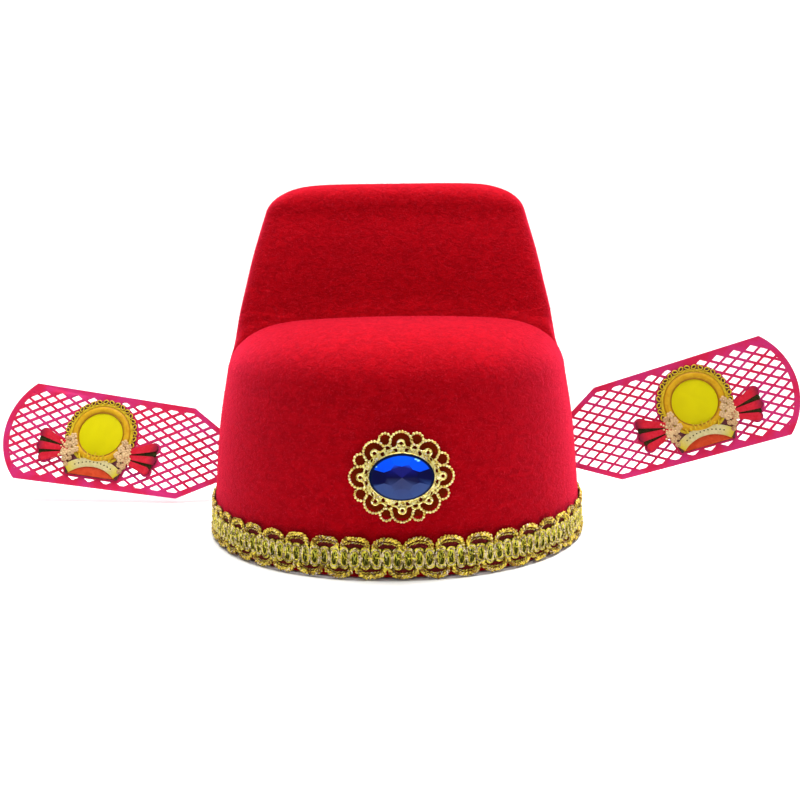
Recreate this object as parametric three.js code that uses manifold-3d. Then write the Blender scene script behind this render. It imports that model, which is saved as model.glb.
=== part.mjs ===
// Chinese scholar hat: a moulded felt crown with a low front and a tall back, a scalloped
// braid round the rim, an oval stone in a filigree setting at the front, and two flat lattice
// wings that are riveted to the sides behind. Millimetres; +X is the wearer's left, seen from
// the front as right, +Y is the back, +Z is up, and the rim rests on Z = 0.
import * as THREE from "three";
import { mergeGeometries, mergeVertices } from "three/addons/utils/BufferGeometryUtils.js";
import Module from "manifold-3d";

const wasm = await Module();
wasm.setup();

// ---------- driving dimensions ----------

const GAP = 0.3; // air between two pieces that rest on each other
const FELT = 2.5; // thickness of the felt wall
const AROUND = 60; // stations round the crown
const HUB = 35; // the crown's outlines are measured from this Y, inside both halves
const OVAL = 2.1; // roundness of the oval outlines: 2 is an ellipse, more is squarer
const FACE_SQUARENESS = 3.4; // the same for the flat front face of the tall back

// The wall of the crown from the rim up: half width, and reach to the front and to the back.
const WALL = [
  { z: 0, half: 83.8, front: 103.0, back: 103.0 },
  { z: 8, half: 83.6, front: 102.4, back: 102.6 },
  { z: 18, half: 83.2, front: 101.2, back: 102.0 },
  { z: 37, half: 81.9, front: 98.6, back: 100.4 },
  { z: 56, half: 79.8, front: 96.0, back: 98.6 },
  { z: 70, half: 77.0, front: 93.8, back: 96.8 },
];
// The shoulder of the low front: how far it rounds inwards at the sides and at the front, and
// how high it climbs.
const SHOULDER = { steps: 8, side: 24, front: 50, rise: 26.7, bow: 3.6, bowHalf: 60, blend: 1.5 };
// The flat top of the low front: how far each ring has come from the shoulder to the tall back.
const PLATEAU = [
  { share: 0.3, z: 96.5 },
  { share: 0.6, z: 96.2 },
  { share: 0.83, z: 95.9 },
  { share: 0.96, z: 95.9 },
];
const VALLEY = 4; // width over which the flat top runs up into the tall back
// The tall back: half width, Y of its front face, of its widest place and of its back.
const TALL = [
  { z: 70, half: 77.0, face: -11, widest: 0, back: 96.8 },
  { z: 79, half: 75.3, face: -9, widest: 0, back: 95.4 },
  { z: 88, half: 74.1, face: -7, widest: 1.5, back: 94.0 },
  { z: 96, half: 72.7, face: -4.5, widest: 4, back: 92.6 },
  { z: 105, half: 71.0, face: -1.5, widest: 7.5, back: 91.0 },
  { z: 119, half: 68.1, face: 2.5, widest: 12.5, back: 88.2 },
  { z: 131, half: 65.1, face: 6.4, widest: 17, back: 85.4 },
  { z: 141, half: 62.1, face: 11, widest: 20.5, back: 82.8 },
];
// The rounded top of the tall back: its inset at the sides, front and back, and its rise.
const TOP = { steps: 5, side: 26, face: 12, back: 21, rise: 15.2, leanX: 2.2 };
const TOP_FLAT = 0.5; // the last ring before the middle of the top, as a share of the top

// The braid: a band with scallops above and below it, half a scallop out of step.
const BRAID = { thick: 1.5, scallops: 48, perScallop: 4, low: 1.0, bandLow: 4.2 };
const BRAID_TOP = { band: 12.2, scallop: 16.4 };

// The stone and its setting: Z of the middle, then half sizes.
const BROOCH_Z = 39.5;
const STONE = { halfX: 12.5, halfZ: 9.0, girdle: 1.4, height: 5.6, sides: 16 };
const CUP = { halfX: 15.2, halfZ: 11.4, floor: 0.7, rim: 0.8, rimHigh: 2.2, sides: 32 };
const WIRE = { wide: 1.2, high: 1.1 };
const FLAT_ZONE = { from: 11, to: 19 }; // the setting is flat inside, and bent back outside
// The loops of the filigree, one of each in a quarter or on an axis.
const LOOPS = [
  { name: "top", x: 0, z: 13.0, radius: 4.3, sides: 12, eye: 1.15 },
  { name: "side", x: 16.0, z: 0, radius: 4.2, sides: 12, eye: 1.15 },
  { name: "corner", x: 10.3, z: 9.6, radius: 4.2, sides: 12, eye: 1.15 },
  { name: "upper small", x: 6.2, z: 14.6, radius: 2.5, sides: 8, eye: 0 },
  { name: "side small", x: 15.9, z: 6.8, radius: 2.5, sides: 8, eye: 0 },
];

// The wing, in its own plane: U runs outwards from the line of its inner corners, V is up.
const WING = {
  thick: 1.2,
  length: 85.4, // of the straight edges
  innerHalf: 24.1,
  outerHalf: 25.8,
  bulge: 11.0, // of the curved outer end
  border: 2.8,
  chamfer: 30.8, // degrees, the same as the bars
  neckFrom: 20, // the chamfer turns into the neck this far inwards
  neckTo: 26,
  neckHalf: 3.2,
};
const LATTICE = { along: 8.65, across: 5.16, bar: 1.25, firstU: 0.29 };
const TAB = { long: 13, high: 8 };
const RIVET = { shaft: 1.2, hole: 1.5, head: 3, headHigh: 1, washer: 3.5, washerHigh: 0.8 };

// The medallion on a wing: its middle, then sizes from that middle.
const MEDALLION = { u: 45.2, v: 2.9, radius: 18.4, thick: 0.5, margin: 0.9 };
const BODY = { half: 17.2, topV: -6, lowHalf: 13.6, lowV: -22.6 };
// The lobes of the ribbon, from the root out, on both sides.
const RIBBON_ROOT = { u: 17.6, v: -10.1, radius: 0.9 };
const LOBES = [
  { name: "upper", u: 29.0, v: -3.2, radius: 2.3 },
  { name: "middle", u: 29.4, v: -9.9, radius: 2.3 },
  { name: "lower", u: 27.2, v: -15.4, radius: 2.1 },
];

// How each wing stands: the middle of its inner corners, and its turns in degrees.
const RIGHT_WING = { side: 1, x: 107.0, y: 36.1, z: 32.2, rise: 16.6, lean: 15, sweep: -7.4 };
const LEFT_WING = { side: -1, x: -106.2, y: 50.9, z: 23.5, rise: 8.5, lean: 26.9, sweep: 4.8 };

// ---------- helpers ----------

// A closed three.js geometry as a manifold solid.
function solidOf(geometry) {
  const bare = geometry.clone();
  bare.deleteAttribute("normal");
  bare.deleteAttribute("uv");
  const merged = mergeVertices(bare, 1e-4);
  const mesh = new wasm.Mesh({
    numProp: 3,
    vertProperties: merged.attributes.position.array,
    triVerts: new Uint32Array(merged.index.array),
  });
  return new wasm.Manifold(mesh);
}

// A manifold solid as a three.js geometry.
function geometryOf(solid) {
  const mesh = solid.getMesh();
  const geometry = new THREE.BufferGeometry();
  geometry.setAttribute("position", new THREE.BufferAttribute(mesh.vertProperties.slice(), 3));
  geometry.setIndex([...mesh.triVerts]);
  geometry.computeVertexNormals();
  return geometry;
}

// A geometry moved into another frame, its faces turned back where the frame is mirrored.
function moved(geometry, matrix) {
  const placed = geometry.clone().applyMatrix4(matrix);
  const index = placed.index.array;
  if (matrix.determinant() < 0) {
    for (let i = 0; i < index.length; i += 3) {
      [index[i + 1], index[i + 2]] = [index[i + 2], index[i + 1]];
    }
  }
  return placed;
}

function join(solids) {
  return solids.reduce((whole, solid) => whole.add(solid));
}

// A plate from a flat shape: the shape's x and y become X and Z, from Y = front to back.
// Sides is how many a full circle in the shape gets.
function plate(shape, front, back, sides = 12) {
  const depth = back - front;
  const curveSegments = sides / 2;
  const geometry = new THREE.ExtrudeGeometry(shape, { depth, bevelEnabled: false, curveSegments });
  return geometry.rotateX(Math.PI / 2).translate(0, back, 0);
}

function circleShape(x, y, radius) {
  return new THREE.Shape().absarc(x, y, radius, 0, 2 * Math.PI);
}

function named(name, geometry, material) {
  const mesh = new THREE.Mesh(geometry, material);
  mesh.name = name;
  return mesh;
}

const mix = THREE.MathUtils.lerp;
const smooth = (value) => THREE.MathUtils.smoothstep(value, 0, 1);

// The row of a table at a height, every column worked out between its neighbours.
function rowAt(table, z) {
  const next = Math.max(table.findIndex((row) => row.z >= z), 1);
  const [below, above] = table.slice(next - 1, next + 1);
  const share = (z - below.z) / (above.z - below.z);
  const between = (key) => [key, mix(below[key], above[key], share)];
  return Object.fromEntries(Object.keys(above).map(between));
}

// ---------- the crown ----------

// An outline in plan: an oval with its own reach to the front and to the back of its widest Y.
function inOutline({ half, front, back, widest, squareness }, x, y) {
  const ahead = y < widest;
  const power = ahead ? squareness : OVAL;
  const depth = ahead ? front : back;
  return (Math.abs(x) / half) ** power + (Math.abs(y - widest) / depth) ** power < 1;
}

function reach(outline, direction) {
  let near = 0;
  let far = 2 * HUB + 200;
  for (let step = 0; step < 40; step++) {
    const middle = (near + far) / 2;
    if (inOutline(outline, direction.x * middle, HUB + direction.y * middle)) near = middle;
    else far = middle;
  }
  return near;
}

const lowOutline = ({ half, front, back }) => ({ half, front, back, widest: 0, squareness: OVAL });

const tallOutline = ({ half, face, widest, back }) => ({
  half,
  front: widest - face,
  back: back - widest,
  widest,
  squareness: FACE_SQUARENESS,
});

// Every ring of the outer skin: an outline of the low front, one of the tall back, or both,
// each with its height, and the width over which one runs into the other.
function crownRings() {
  const rings = WALL.map((row) => ({ low: lowOutline(row), lowZ: row.z, bow: 0 }));
  const edge = WALL[WALL.length - 1];
  let shoulder;
  for (let step = 1; step <= SHOULDER.steps; step++) {
    const angle = (step / SHOULDER.steps) * (Math.PI / 2);
    const inwards = 1 - Math.cos(angle);
    const half = edge.half - SHOULDER.side * inwards;
    const front = edge.front - SHOULDER.front * inwards;
    const lowZ = edge.z + SHOULDER.rise * Math.sin(angle);
    const tallZ = edge.z + 0.9 * SHOULDER.rise * Math.sin(angle);
    shoulder = lowOutline({ half, front, back: edge.back - 3 * SHOULDER.side * inwards - 2 });
    rings.push({
      low: shoulder,
      lowZ,
      bow: Math.sin(angle) ** 2,
      tall: tallOutline(rowAt(TALL, tallZ)),
      tallZ,
      blend: SHOULDER.blend,
    });
  }
  for (const row of PLATEAU) {
    const tallZ = rings[rings.length - 1].tallZ + 1.3;
    rings.push({
      low: shoulder,
      share: row.share,
      lowZ: row.z,
      bow: 1 - row.share / 2,
      tall: tallOutline(rowAt(TALL, tallZ)),
      tallZ,
      blend: VALLEY,
    });
  }
  for (const z of [101.5, 105, 112, 122, 132, 141]) {
    rings.push({ tall: tallOutline(rowAt(TALL, z)), tallZ: z });
  }
  const top = TALL[TALL.length - 1];
  for (let step = 1; step <= TOP.steps; step++) {
    const angle = (step / TOP.steps) * (Math.PI / 2);
    const inwards = 1 - Math.cos(angle);
    const row = {
      half: top.half - TOP.side * inwards,
      face: top.face + TOP.face * inwards,
      widest: mix(top.widest, HUB, inwards),
      back: top.back - TOP.back * inwards,
    };
    rings.push({ tall: tallOutline(row), tallZ: top.z + TOP.rise * Math.sin(angle) });
  }
  return rings;
}

// A point of a ring, along one direction from the hub.
function crownPoint(ring, direction) {
  const tall = ring.tall ? reach(ring.tall, direction) : 0;
  const edge = ring.low ? reach(ring.low, direction) : 0;
  const low = mix(edge, tall, ring.share ?? 0);
  let radius = Math.max(low, tall);
  let share = ring.tall ? 1 : 0;
  if (ring.low && ring.tall) {
    const near = Math.max(ring.blend - Math.abs(low - tall), 0) / ring.blend;
    radius += (near * near * ring.blend) / 4;
    share = smooth(0.5 + (tall - low) / (2 * ring.blend));
  }
  const x = direction.x * radius;
  const lowZ = ring.low ? ring.lowZ - SHOULDER.bow * ring.bow * (x / SHOULDER.bowHalf) ** 2 : 0;
  const z = mix(lowZ, ring.tall ? ring.tallZ : 0, share);
  const topZ = TALL[TALL.length - 1].z + TOP.rise;
  return new THREE.Vector3(x + TOP.leanX * (z / topZ) ** 2, HUB + direction.y * radius, z);
}

// Directions from the hub to points that stand about evenly round the foot of the tall back.
function crownDirections() {
  const outline = tallOutline(rowAt(TALL, 98));
  const fine = 2000;
  const rays = [];
  const lengths = [0];
  let last;
  for (let step = 0; step <= fine; step++) {
    const angle = (step / fine) * 2 * Math.PI - Math.PI / 2;
    const ray = new THREE.Vector2(Math.cos(angle), Math.sin(angle));
    const point = ray.clone().multiplyScalar(reach(outline, ray));
    if (last) lengths.push(lengths[step - 1] + point.distanceTo(last));
    rays.push(ray);
    last = point;
  }
  let step = 0;
  return Array.from({ length: AROUND }, (_, index) => {
    while (lengths[step] < (index / AROUND) * lengths[fine]) step++;
    return rays[step];
  });
}

// The middle of the top, where the rings close.
function crownMiddle() {
  const topZ = TALL[TALL.length - 1].z + TOP.rise;
  return new THREE.Vector3(TOP.leanX, HUB + 5, topZ + 0.2);
}

// The outer skin as a grid of points, rim first, and the inner skin one wall inside it.
function crownGrids() {
  const directions = crownDirections();
  const outer = crownRings().map((ring) => directions.map((each) => crownPoint(ring, each)));
  const middle = crownMiddle();
  const last = outer[outer.length - 1];
  outer.push(last.map((point) => point.clone().lerp(middle, TOP_FLAT)));
  const inner = outer.map((ring, level) =>
    ring.map((point, index) => {
      const around = ring[(index + 1) % AROUND].clone().sub(ring[(index + AROUND - 1) % AROUND]);
      const above = level + 1 < outer.length ? outer[level + 1][index] : middle;
      const below = outer[Math.max(level - 1, 0)][index];
      const normal = around.cross(above.clone().sub(below)).normalize();
      const inside = point.clone().addScaledVector(normal, -FELT);
      if (level === 0) inside.z = 0;
      return inside;
    }),
  );
  return { outer, inner, middle };
}

function crownGeometry() {
  const { outer, inner, middle } = crownGrids();
  const points = [...outer.flat(), ...inner.flat()];
  points.push(middle, middle.clone().setZ(middle.z - FELT));
  const levels = outer.length;
  const at = (skin, level, index) => (skin * levels + level) * AROUND + (index % AROUND);
  const faces = [];
  const quad = (a, b, c, d) => faces.push(a, b, c, a, c, d);
  for (let index = 0; index < AROUND; index++) {
    for (let level = 0; level + 1 < levels; level++) {
      const up = level + 1;
      quad(at(0, level, index), at(0, level, index + 1), at(0, up, index + 1), at(0, up, index));
      quad(at(1, level, index + 1), at(1, level, index), at(1, up, index), at(1, up, index + 1));
    }
    quad(at(1, 0, index), at(1, 0, index + 1), at(0, 0, index + 1), at(0, 0, index));
    const tip = 2 * levels * AROUND;
    faces.push(at(0, levels - 1, index), at(0, levels - 1, index + 1), tip);
    faces.push(at(1, levels - 1, index + 1), at(1, levels - 1, index), tip + 1);
  }
  const geometry = new THREE.BufferGeometry().setFromPoints(points);
  geometry.setIndex(faces);
  return geometry;
}

// The outer face of the wall below the shoulder, at an angle round the oval and a height.
function wallPoint(angle, z) {
  const row = rowAt(WALL, z);
  const curve = (value) => Math.sign(value) * Math.abs(value) ** (2 / OVAL);
  const depth = Math.sin(angle) < 0 ? row.front : row.back;
  return new THREE.Vector3(row.half * curve(Math.cos(angle)), depth * curve(Math.sin(angle)), z);
}

function wallNormal(angle, z) {
  const turn = 1e-3;
  const around = wallPoint(angle + turn, z).sub(wallPoint(angle - turn, z));
  const upwards = wallPoint(angle, z + 1).sub(wallPoint(angle, z - 1));
  return around.cross(upwards).normalize();
}

// ---------- the braid ----------

// Angles that stand evenly along the rim, measured on its length.
function evenAngles(count) {
  const fine = 4000;
  const lengths = [0];
  for (let step = 1; step <= fine; step++) {
    const from = wallPoint(((step - 1) / fine) * 2 * Math.PI, 8);
    const to = wallPoint((step / fine) * 2 * Math.PI, 8);
    lengths.push(lengths[step - 1] + from.distanceTo(to));
  }
  let step = 0;
  return Array.from({ length: count }, (_, index) => {
    while (lengths[step] < (index / count) * lengths[fine]) step++;
    return (step / fine) * 2 * Math.PI;
  });
}

function braidGeometry() {
  const stations = BRAID.scallops * BRAID.perScallop;
  const arch = (turns) => Math.abs(Math.sin(Math.PI * turns)) ** 0.6;
  const points = [];
  const faces = [];
  evenAngles(stations).forEach((angle, index) => {
    const turns = index / BRAID.perScallop;
    const topZ = mix(BRAID_TOP.band, BRAID_TOP.scallop, arch(turns));
    const lowZ = mix(BRAID.bandLow, BRAID.low, arch(turns + 0.5));
    const out = wallNormal(angle, 8);
    for (const [z, depth] of [
      [lowZ, GAP],
      [lowZ, GAP + BRAID.thick],
      [topZ, GAP + BRAID.thick],
      [topZ, GAP],
    ]) {
      points.push(wallPoint(angle, z).addScaledVector(out, depth));
    }
    const next = (index + 1) % stations;
    for (let side = 0; side < 4; side++) {
      const [a, b] = [index * 4 + side, index * 4 + ((side + 1) % 4)];
      const [c, d] = [next * 4 + ((side + 1) % 4), next * 4 + side];
      faces.push(a, d, c, a, c, b);
    }
  });
  const geometry = new THREE.BufferGeometry().setFromPoints(points);
  geometry.setIndex(faces);
  return geometry;
}

// ---------- the brooch ----------

function frontWallY(x, z) {
  const row = rowAt(WALL, z);
  return -row.front * (1 - (Math.abs(x) / row.half) ** OVAL) ** (1 / OVAL);
}

// Lays a geometry that was made flat on the front of the crown: X along the wall, Z up it, and
// -Y away from it. It stays flat near the middle and follows the felt further out.
function layOnFront(geometry) {
  const slope = frontWallY(0, BROOCH_Z + 1) - frontWallY(0, BROOCH_Z - 1);
  const upwards = new THREE.Vector3(0, slope, 2).normalize();
  const outwards = new THREE.Vector3(0, -upwards.z, upwards.y);
  const middle = new THREE.Vector3(0, frontWallY(0, BROOCH_Z), BROOCH_Z);
  const position = geometry.attributes.position;
  const point = new THREE.Vector3();
  for (let index = 0; index < position.count; index++) {
    const [x, y, z] = [position.getX(index), position.getY(index), position.getZ(index)];
    point.copy(middle).addScaledVector(upwards, z).addScaledVector(outwards, GAP - y);
    const back = frontWallY(x, point.z) - frontWallY(0, point.z);
    const share = THREE.MathUtils.smoothstep(Math.abs(x), FLAT_ZONE.from, FLAT_ZONE.to);
    position.setXYZ(index, x, point.y + back * share, point.z);
  }
  return geometry;
}

function ellipseShape(halfX, halfZ) {
  return new THREE.Shape().absellipse(0, 0, halfX, halfZ, 0, 2 * Math.PI);
}

// A flat ring of wire round a middle.
function wireRing(x, z, radius, sides) {
  const shape = circleShape(x, z, radius + WIRE.wide / 2);
  shape.holes.push(new THREE.Path().absarc(x, z, radius - WIRE.wide / 2, 0, 2 * Math.PI));
  return solidOf(plate(shape, -WIRE.high, 0, sides));
}

function settingSolid() {
  const cup = solidOf(plate(ellipseShape(CUP.halfX, CUP.halfZ), -WIRE.high, 0, CUP.sides));
  const wall = STONE.halfX + GAP + CUP.rim;
  const tall = STONE.halfZ + GAP + CUP.rim;
  const rim = solidOf(plate(ellipseShape(wall, tall), -CUP.rimHigh, 0, CUP.sides));
  const room = ellipseShape(STONE.halfX + GAP, STONE.halfZ + GAP);
  const seat = solidOf(plate(room, -2 * CUP.rimHigh, -CUP.floor, CUP.sides));
  const wires = [];
  const eyes = [];
  for (const loop of LOOPS) {
    const signsX = loop.x === 0 ? [1] : [1, -1];
    const signsZ = loop.z === 0 ? [1] : [1, -1];
    for (const [x, z] of signsX.flatMap((a) => signsZ.map((b) => [a * loop.x, b * loop.z]))) {
      wires.push(wireRing(x, z, loop.radius, loop.sides));
      if (loop.eye) eyes.push(wireRing(x, z, loop.eye, 8));
    }
  }
  return join([cup, rim, ...wires, ...eyes]).subtract(seat);
}

// A faceted oval stone: a girdle, then two tiers of facets up to the crest.
function stoneGeometry() {
  const tiers = [
    { share: 0.96, high: 0 },
    { share: 1, high: STONE.girdle },
    { share: 0.78, high: 0.66 * STONE.height },
    { share: 0.36, high: 0.93 * STONE.height },
  ];
  const points = tiers.flatMap(({ share, high }, tier) =>
    Array.from({ length: STONE.sides }, (_, index) => {
      const angle = ((index + (tier % 2) / 2) / STONE.sides) * 2 * Math.PI;
      const x = share * STONE.halfX * Math.cos(angle);
      const z = share * STONE.halfZ * Math.sin(angle);
      return new THREE.Vector3(x, -(CUP.floor + GAP + high), z);
    }),
  );
  points.push(new THREE.Vector3(0, -(CUP.floor + GAP), 0));
  points.push(new THREE.Vector3(0, -(CUP.floor + GAP + STONE.height), 0));
  const [floor, crest] = [points.length - 2, points.length - 1];
  const faces = [];
  for (let index = 0; index < STONE.sides; index++) {
    const next = (index + 1) % STONE.sides;
    faces.push(floor, next, index);
    for (let tier = 0; tier + 1 < tiers.length; tier++) {
      const [low, high] = [tier * STONE.sides, (tier + 1) * STONE.sides];
      if (tier % 2 === 0) {
        faces.push(low + index, low + next, high + index);
        faces.push(low + next, high + next, high + index);
      } else {
        faces.push(low + index, high + next, high + index);
        faces.push(low + index, low + next, high + next);
      }
    }
    const last = (tiers.length - 1) * STONE.sides;
    faces.push(last + index, last + next, crest);
  }
  const geometry = new THREE.BufferGeometry().setFromPoints(points);
  geometry.setIndex(faces);
  return geometry;
}

// ---------- the wings ----------

// The outline of a wing, moved inwards by an inset.
function wingShape(inset) {
  const slope = THREE.MathUtils.degToRad(WING.chamfer);
  const radius = (WING.outerHalf ** 2 + WING.bulge ** 2) / (2 * WING.bulge);
  const centre = WING.length + WING.bulge - radius;
  const innerHalf = WING.innerHalf - inset;
  const outerHalf = WING.outerHalf - inset;
  const round = radius - inset;
  const tip = Math.asin(outerHalf / round);
  const inner = -inset * Math.tan(slope / 2);
  const neck = { u: -WING.neckFrom, v: WING.innerHalf - WING.neckFrom * Math.tan(slope) };
  const neckV = neck.v - inset / Math.cos(slope);
  const shape = new THREE.Shape();
  shape.moveTo(neck.u, -neckV);
  shape.lineTo(inner, -innerHalf);
  shape.absarc(centre, 0, round, -tip, tip, false);
  shape.lineTo(inner, innerHalf);
  shape.lineTo(neck.u, neckV);
  if (inset === 0) {
    const end = -WING.neckTo - 30;
    shape.lineTo(-WING.neckTo, WING.neckHalf);
    shape.lineTo(end, WING.neckHalf);
    shape.lineTo(end, -WING.neckHalf);
    shape.lineTo(-WING.neckTo, -WING.neckHalf);
  }
  shape.closePath();
  return shape;
}

// A lobe that widens from its root to its rounded tip.
function lobeShape(root, tip, margin) {
  const along = Math.atan2(tip.v - root.v, tip.u - root.u);
  const length = Math.hypot(tip.v - root.v, tip.u - root.u);
  const open = Math.acos((root.radius - tip.radius) / length);
  const shape = new THREE.Shape();
  shape.absarc(tip.u, tip.v, tip.radius + margin, along - open, along + open, false);
  shape.absarc(root.u, root.v, root.radius + margin, along + open, along - open, false);
  return shape;
}

function polygonShape(points) {
  return new THREE.Shape(points.map(([u, v]) => new THREE.Vector2(u, v)));
}

// The medallion's outline as a plate: disc, body and ribbons, all grown by a margin.
function medallionSolid(margin, front, back, fill) {
  const pieces = [plate(circleShape(0, 0, MEDALLION.radius + margin), front, back, 36)];
  const body = [
    [BODY.half + margin, BODY.topV],
    [BODY.half + margin, BODY.topV - 4],
    [BODY.lowHalf + margin, BODY.lowV - margin],
    [-BODY.lowHalf - margin, BODY.lowV - margin],
    [-BODY.half - margin, BODY.topV - 4],
    [-BODY.half - margin, BODY.topV],
  ];
  pieces.push(plate(polygonShape(body.reverse()), front, back));
  for (const side of [1, -1]) {
    const mirror = ({ u, v, radius }) => ({ u: side * u, v, radius });
    for (const lobe of LOBES) {
      pieces.push(plate(lobeShape(mirror(RIBBON_ROOT), mirror(lobe), margin), front, back, 8));
    }
    if (fill) {
      const fan = [RIBBON_ROOT, ...LOBES].map(({ u, v }) => [side * u, v]);
      pieces.push(plate(polygonShape(side > 0 ? fan.reverse() : fan), front, back));
    }
  }
  return join(pieces.map((piece) => solidOf(piece.translate(MEDALLION.u, 0, MEDALLION.v))));
}

// All the diamond holes of the lattice, as loose prisms.
function diamonds(front, back) {
  const { along, across, bar, firstU } = LATTICE;
  const side = Math.hypot(along / 2, across / 2);
  const share = 1 - (bar / 2) / ((along * across) / (4 * side));
  const [halfU, halfV] = [(share * along) / 2, (share * across) / 2];
  const window = { inner: -WING.neckFrom - along, outer: WING.length + WING.bulge };
  const prisms = [];
  for (const shift of [0, 0.5]) {
    for (let row = -5; row <= 5; row++) {
      for (let column = -4; column <= 12; column++) {
        const u = (firstU + column + shift) * along;
        const v = (row + shift) * across;
        if (u < window.inner || u > window.outer || !keepsHole(u, v)) continue;
        const corners = [[u + halfU, v], [u, v + halfV], [u - halfU, v], [u, v - halfV]];
        prisms.push(plate(polygonShape(corners), front, back));
      }
    }
  }
  return solidOf(mergeGeometries(prisms));
}

// A hole is cut only where its middle is well inside the border.
function keepsHole(u, v) {
  const slope = Math.tan(THREE.MathUtils.degToRad(WING.chamfer));
  const half = u < 0 ? WING.innerHalf + u * slope : WING.innerHalf;
  return Math.abs(v) < half - WING.border + 0.6;
}

// Where a wing's middle line meets the crown, as an angle and a height on the wall.
function wingRoot(pose, matrix) {
  const point = new THREE.Vector3();
  let u = -WING.neckTo;
  let row;
  do {
    u -= 0.05;
    point.set(u, 0, 0).applyMatrix4(matrix);
    row = rowAt(WALL, point.z);
  } while ((Math.abs(point.x) / row.half) ** OVAL + (point.y / row.back) ** OVAL > 1);
  const sine = (point.y / row.back) ** (OVAL / 2);
  const angle = Math.asin(sine);
  return { angle: pose.side > 0 ? angle : Math.PI - angle, z: point.z };
}

function wingMatrix({ side, x, y, z, rise, lean, sweep }) {
  const rad = THREE.MathUtils.degToRad;
  const turns = new THREE.Euler(rad(-lean), rad(-rise), rad(sweep), "ZXY");
  const matrix = new THREE.Matrix4().makeRotationFromEuler(turns);
  if (side < 0) matrix.premultiply(new THREE.Matrix4().makeScale(-1, 1, 1));
  return matrix.setPosition(x, y, z);
}

// The frame of a wing's tab, flat against the wall just behind the wing's root: X runs back
// along the wall, Y points away from it and Z is up it.
function tabMatrix(pose) {
  const root = wingRoot(pose, wingMatrix(pose));
  const z = Math.max(root.z + 1, BRAID_TOP.scallop + TAB.high / 2 + 1);
  let angle = root.angle;
  const start = wallPoint(angle, z);
  while (wallPoint(angle, z).distanceTo(start) < TAB.long / 2) angle += pose.side * 1e-3;
  const point = wallPoint(angle, z);
  const out = wallNormal(angle, z);
  const back = wallPoint(angle + pose.side * 1e-3, z).sub(wallPoint(angle - pose.side * 1e-3, z));
  back.addScaledVector(out, -back.dot(out)).normalize();
  const up = back.clone().cross(out);
  return new THREE.Matrix4().makeBasis(back, out, up).setPosition(point);
}

// A wing in its own frame: X outwards, Y back, Z up. The tab is brought into that frame.
function wingGeometry(pose) {
  const matrix = wingMatrix(pose);
  const half = WING.thick / 2;
  const sheet = solidOf(plate(wingShape(0), -half, half, 32));
  const inside = solidOf(plate(wingShape(WING.border), -2 * half, 2 * half, 32));
  const pad = medallionSolid(MEDALLION.margin, -2 * half, 2 * half, true);
  const holes = diamonds(-1.5 * half, 1.5 * half).intersect(inside).subtract(pad);
  const toWing = matrix.clone().invert().multiply(tabMatrix(pose));
  const tab = new THREE.BoxGeometry(TAB.long, WING.thick, TAB.high).translate(0, GAP + half, 0);
  const feltSide = new THREE.BoxGeometry(120, 60, 60).translate(0, GAP - 30, 0);
  const rivetHole = new THREE.CylinderGeometry(RIVET.hole, RIVET.hole, 2 * FELT, 12);
  const cut = sheet.subtract(holes).subtract(solidOf(moved(feltSide, toWing)));
  const whole = cut.add(solidOf(moved(tab, toWing)));
  return geometryOf(whole.subtract(solidOf(moved(rivetHole, toWing))));
}

// The rivet: a head outside the tab, a shaft through tab and felt, and a washer head inside.
function rivetGeometry() {
  const headLow = GAP + WING.thick + GAP;
  const washerTop = -FELT - GAP - 0.2;
  const profile = [
    [0, washerTop - RIVET.washerHigh],
    [RIVET.washer, washerTop - RIVET.washerHigh],
    [RIVET.washer, washerTop],
    [RIVET.shaft, washerTop],
    [RIVET.shaft, headLow],
    [RIVET.head, headLow],
    [RIVET.head * 0.8, headLow + RIVET.headHigh],
    [0, headLow + RIVET.headHigh],
  ];
  return new THREE.LatheGeometry(profile.map(([r, y]) => new THREE.Vector2(r, y)), 16);
}

// ---------- the hat ----------

const felt = new THREE.MeshStandardMaterial({ color: 0xb80f22, roughness: 0.95, metalness: 0 });
const gold = new THREE.MeshStandardMaterial({ color: 0xc9a832, roughness: 0.35, metalness: 0.9 });
const gilt = new THREE.MeshStandardMaterial({ color: 0xd8c060, roughness: 0.3, metalness: 1 });
const glass = new THREE.MeshStandardMaterial({ color: 0x0b2fb0, roughness: 0.08, metalness: 0 });
const plastic = new THREE.MeshStandardMaterial({ color: 0xd92a5a, roughness: 0.4, metalness: 0 });
const card = new THREE.MeshStandardMaterial({ color: 0xd2cb08, roughness: 0.5, metalness: 0 });

const hat = new THREE.Group();

let crown = solidOf(crownGeometry());
for (const [name, pose] of [["right", RIGHT_WING], ["left", LEFT_WING]]) {
  const wing = new THREE.Group();
  wing.applyMatrix4(wingMatrix(pose));
  wing.add(named(`${name}_wing`, wingGeometry(pose), plastic));
  const front = -WING.thick / 2 - GAP;
  const medallion = medallionSolid(0, front - MEDALLION.thick, front, false);
  wing.add(named(`${name}_medallion`, geometryOf(medallion), card));
  hat.add(wing);

  const tab = tabMatrix(pose);
  const rivet = named(`${name}_wing_pin`, rivetGeometry(), gilt);
  rivet.applyMatrix4(tab);
  hat.add(rivet);
  const hole = new THREE.CylinderGeometry(RIVET.hole, RIVET.hole, 4 * FELT, 12);
  crown = crown.subtract(solidOf(moved(hole, tab)));
}
hat.add(named("crown", geometryOf(crown), felt));
hat.add(named("braid_trim", braidGeometry(), gold));
hat.add(named("brooch_setting", layOnFront(geometryOf(settingSolid())), gilt));
hat.add(named("brooch_stone", layOnFront(stoneGeometry()), glass));

// The origin is the middle of the footprint, on the surface that the rim rests on.
hat.updateMatrixWorld(true);
const box = new THREE.Box3().setFromObject(hat, true);
const middle = box.getCenter(new THREE.Vector3());
hat.position.set(-middle.x, -middle.y, -box.min.z);

export default hat;
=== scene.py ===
"""Chinese scholar hat: a moulded felt crown with a gold gimp braid round its rim, a filigree
brooch with a faceted stone, and two lattice wings that carry medallions in relief."""

import math
import random

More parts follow.
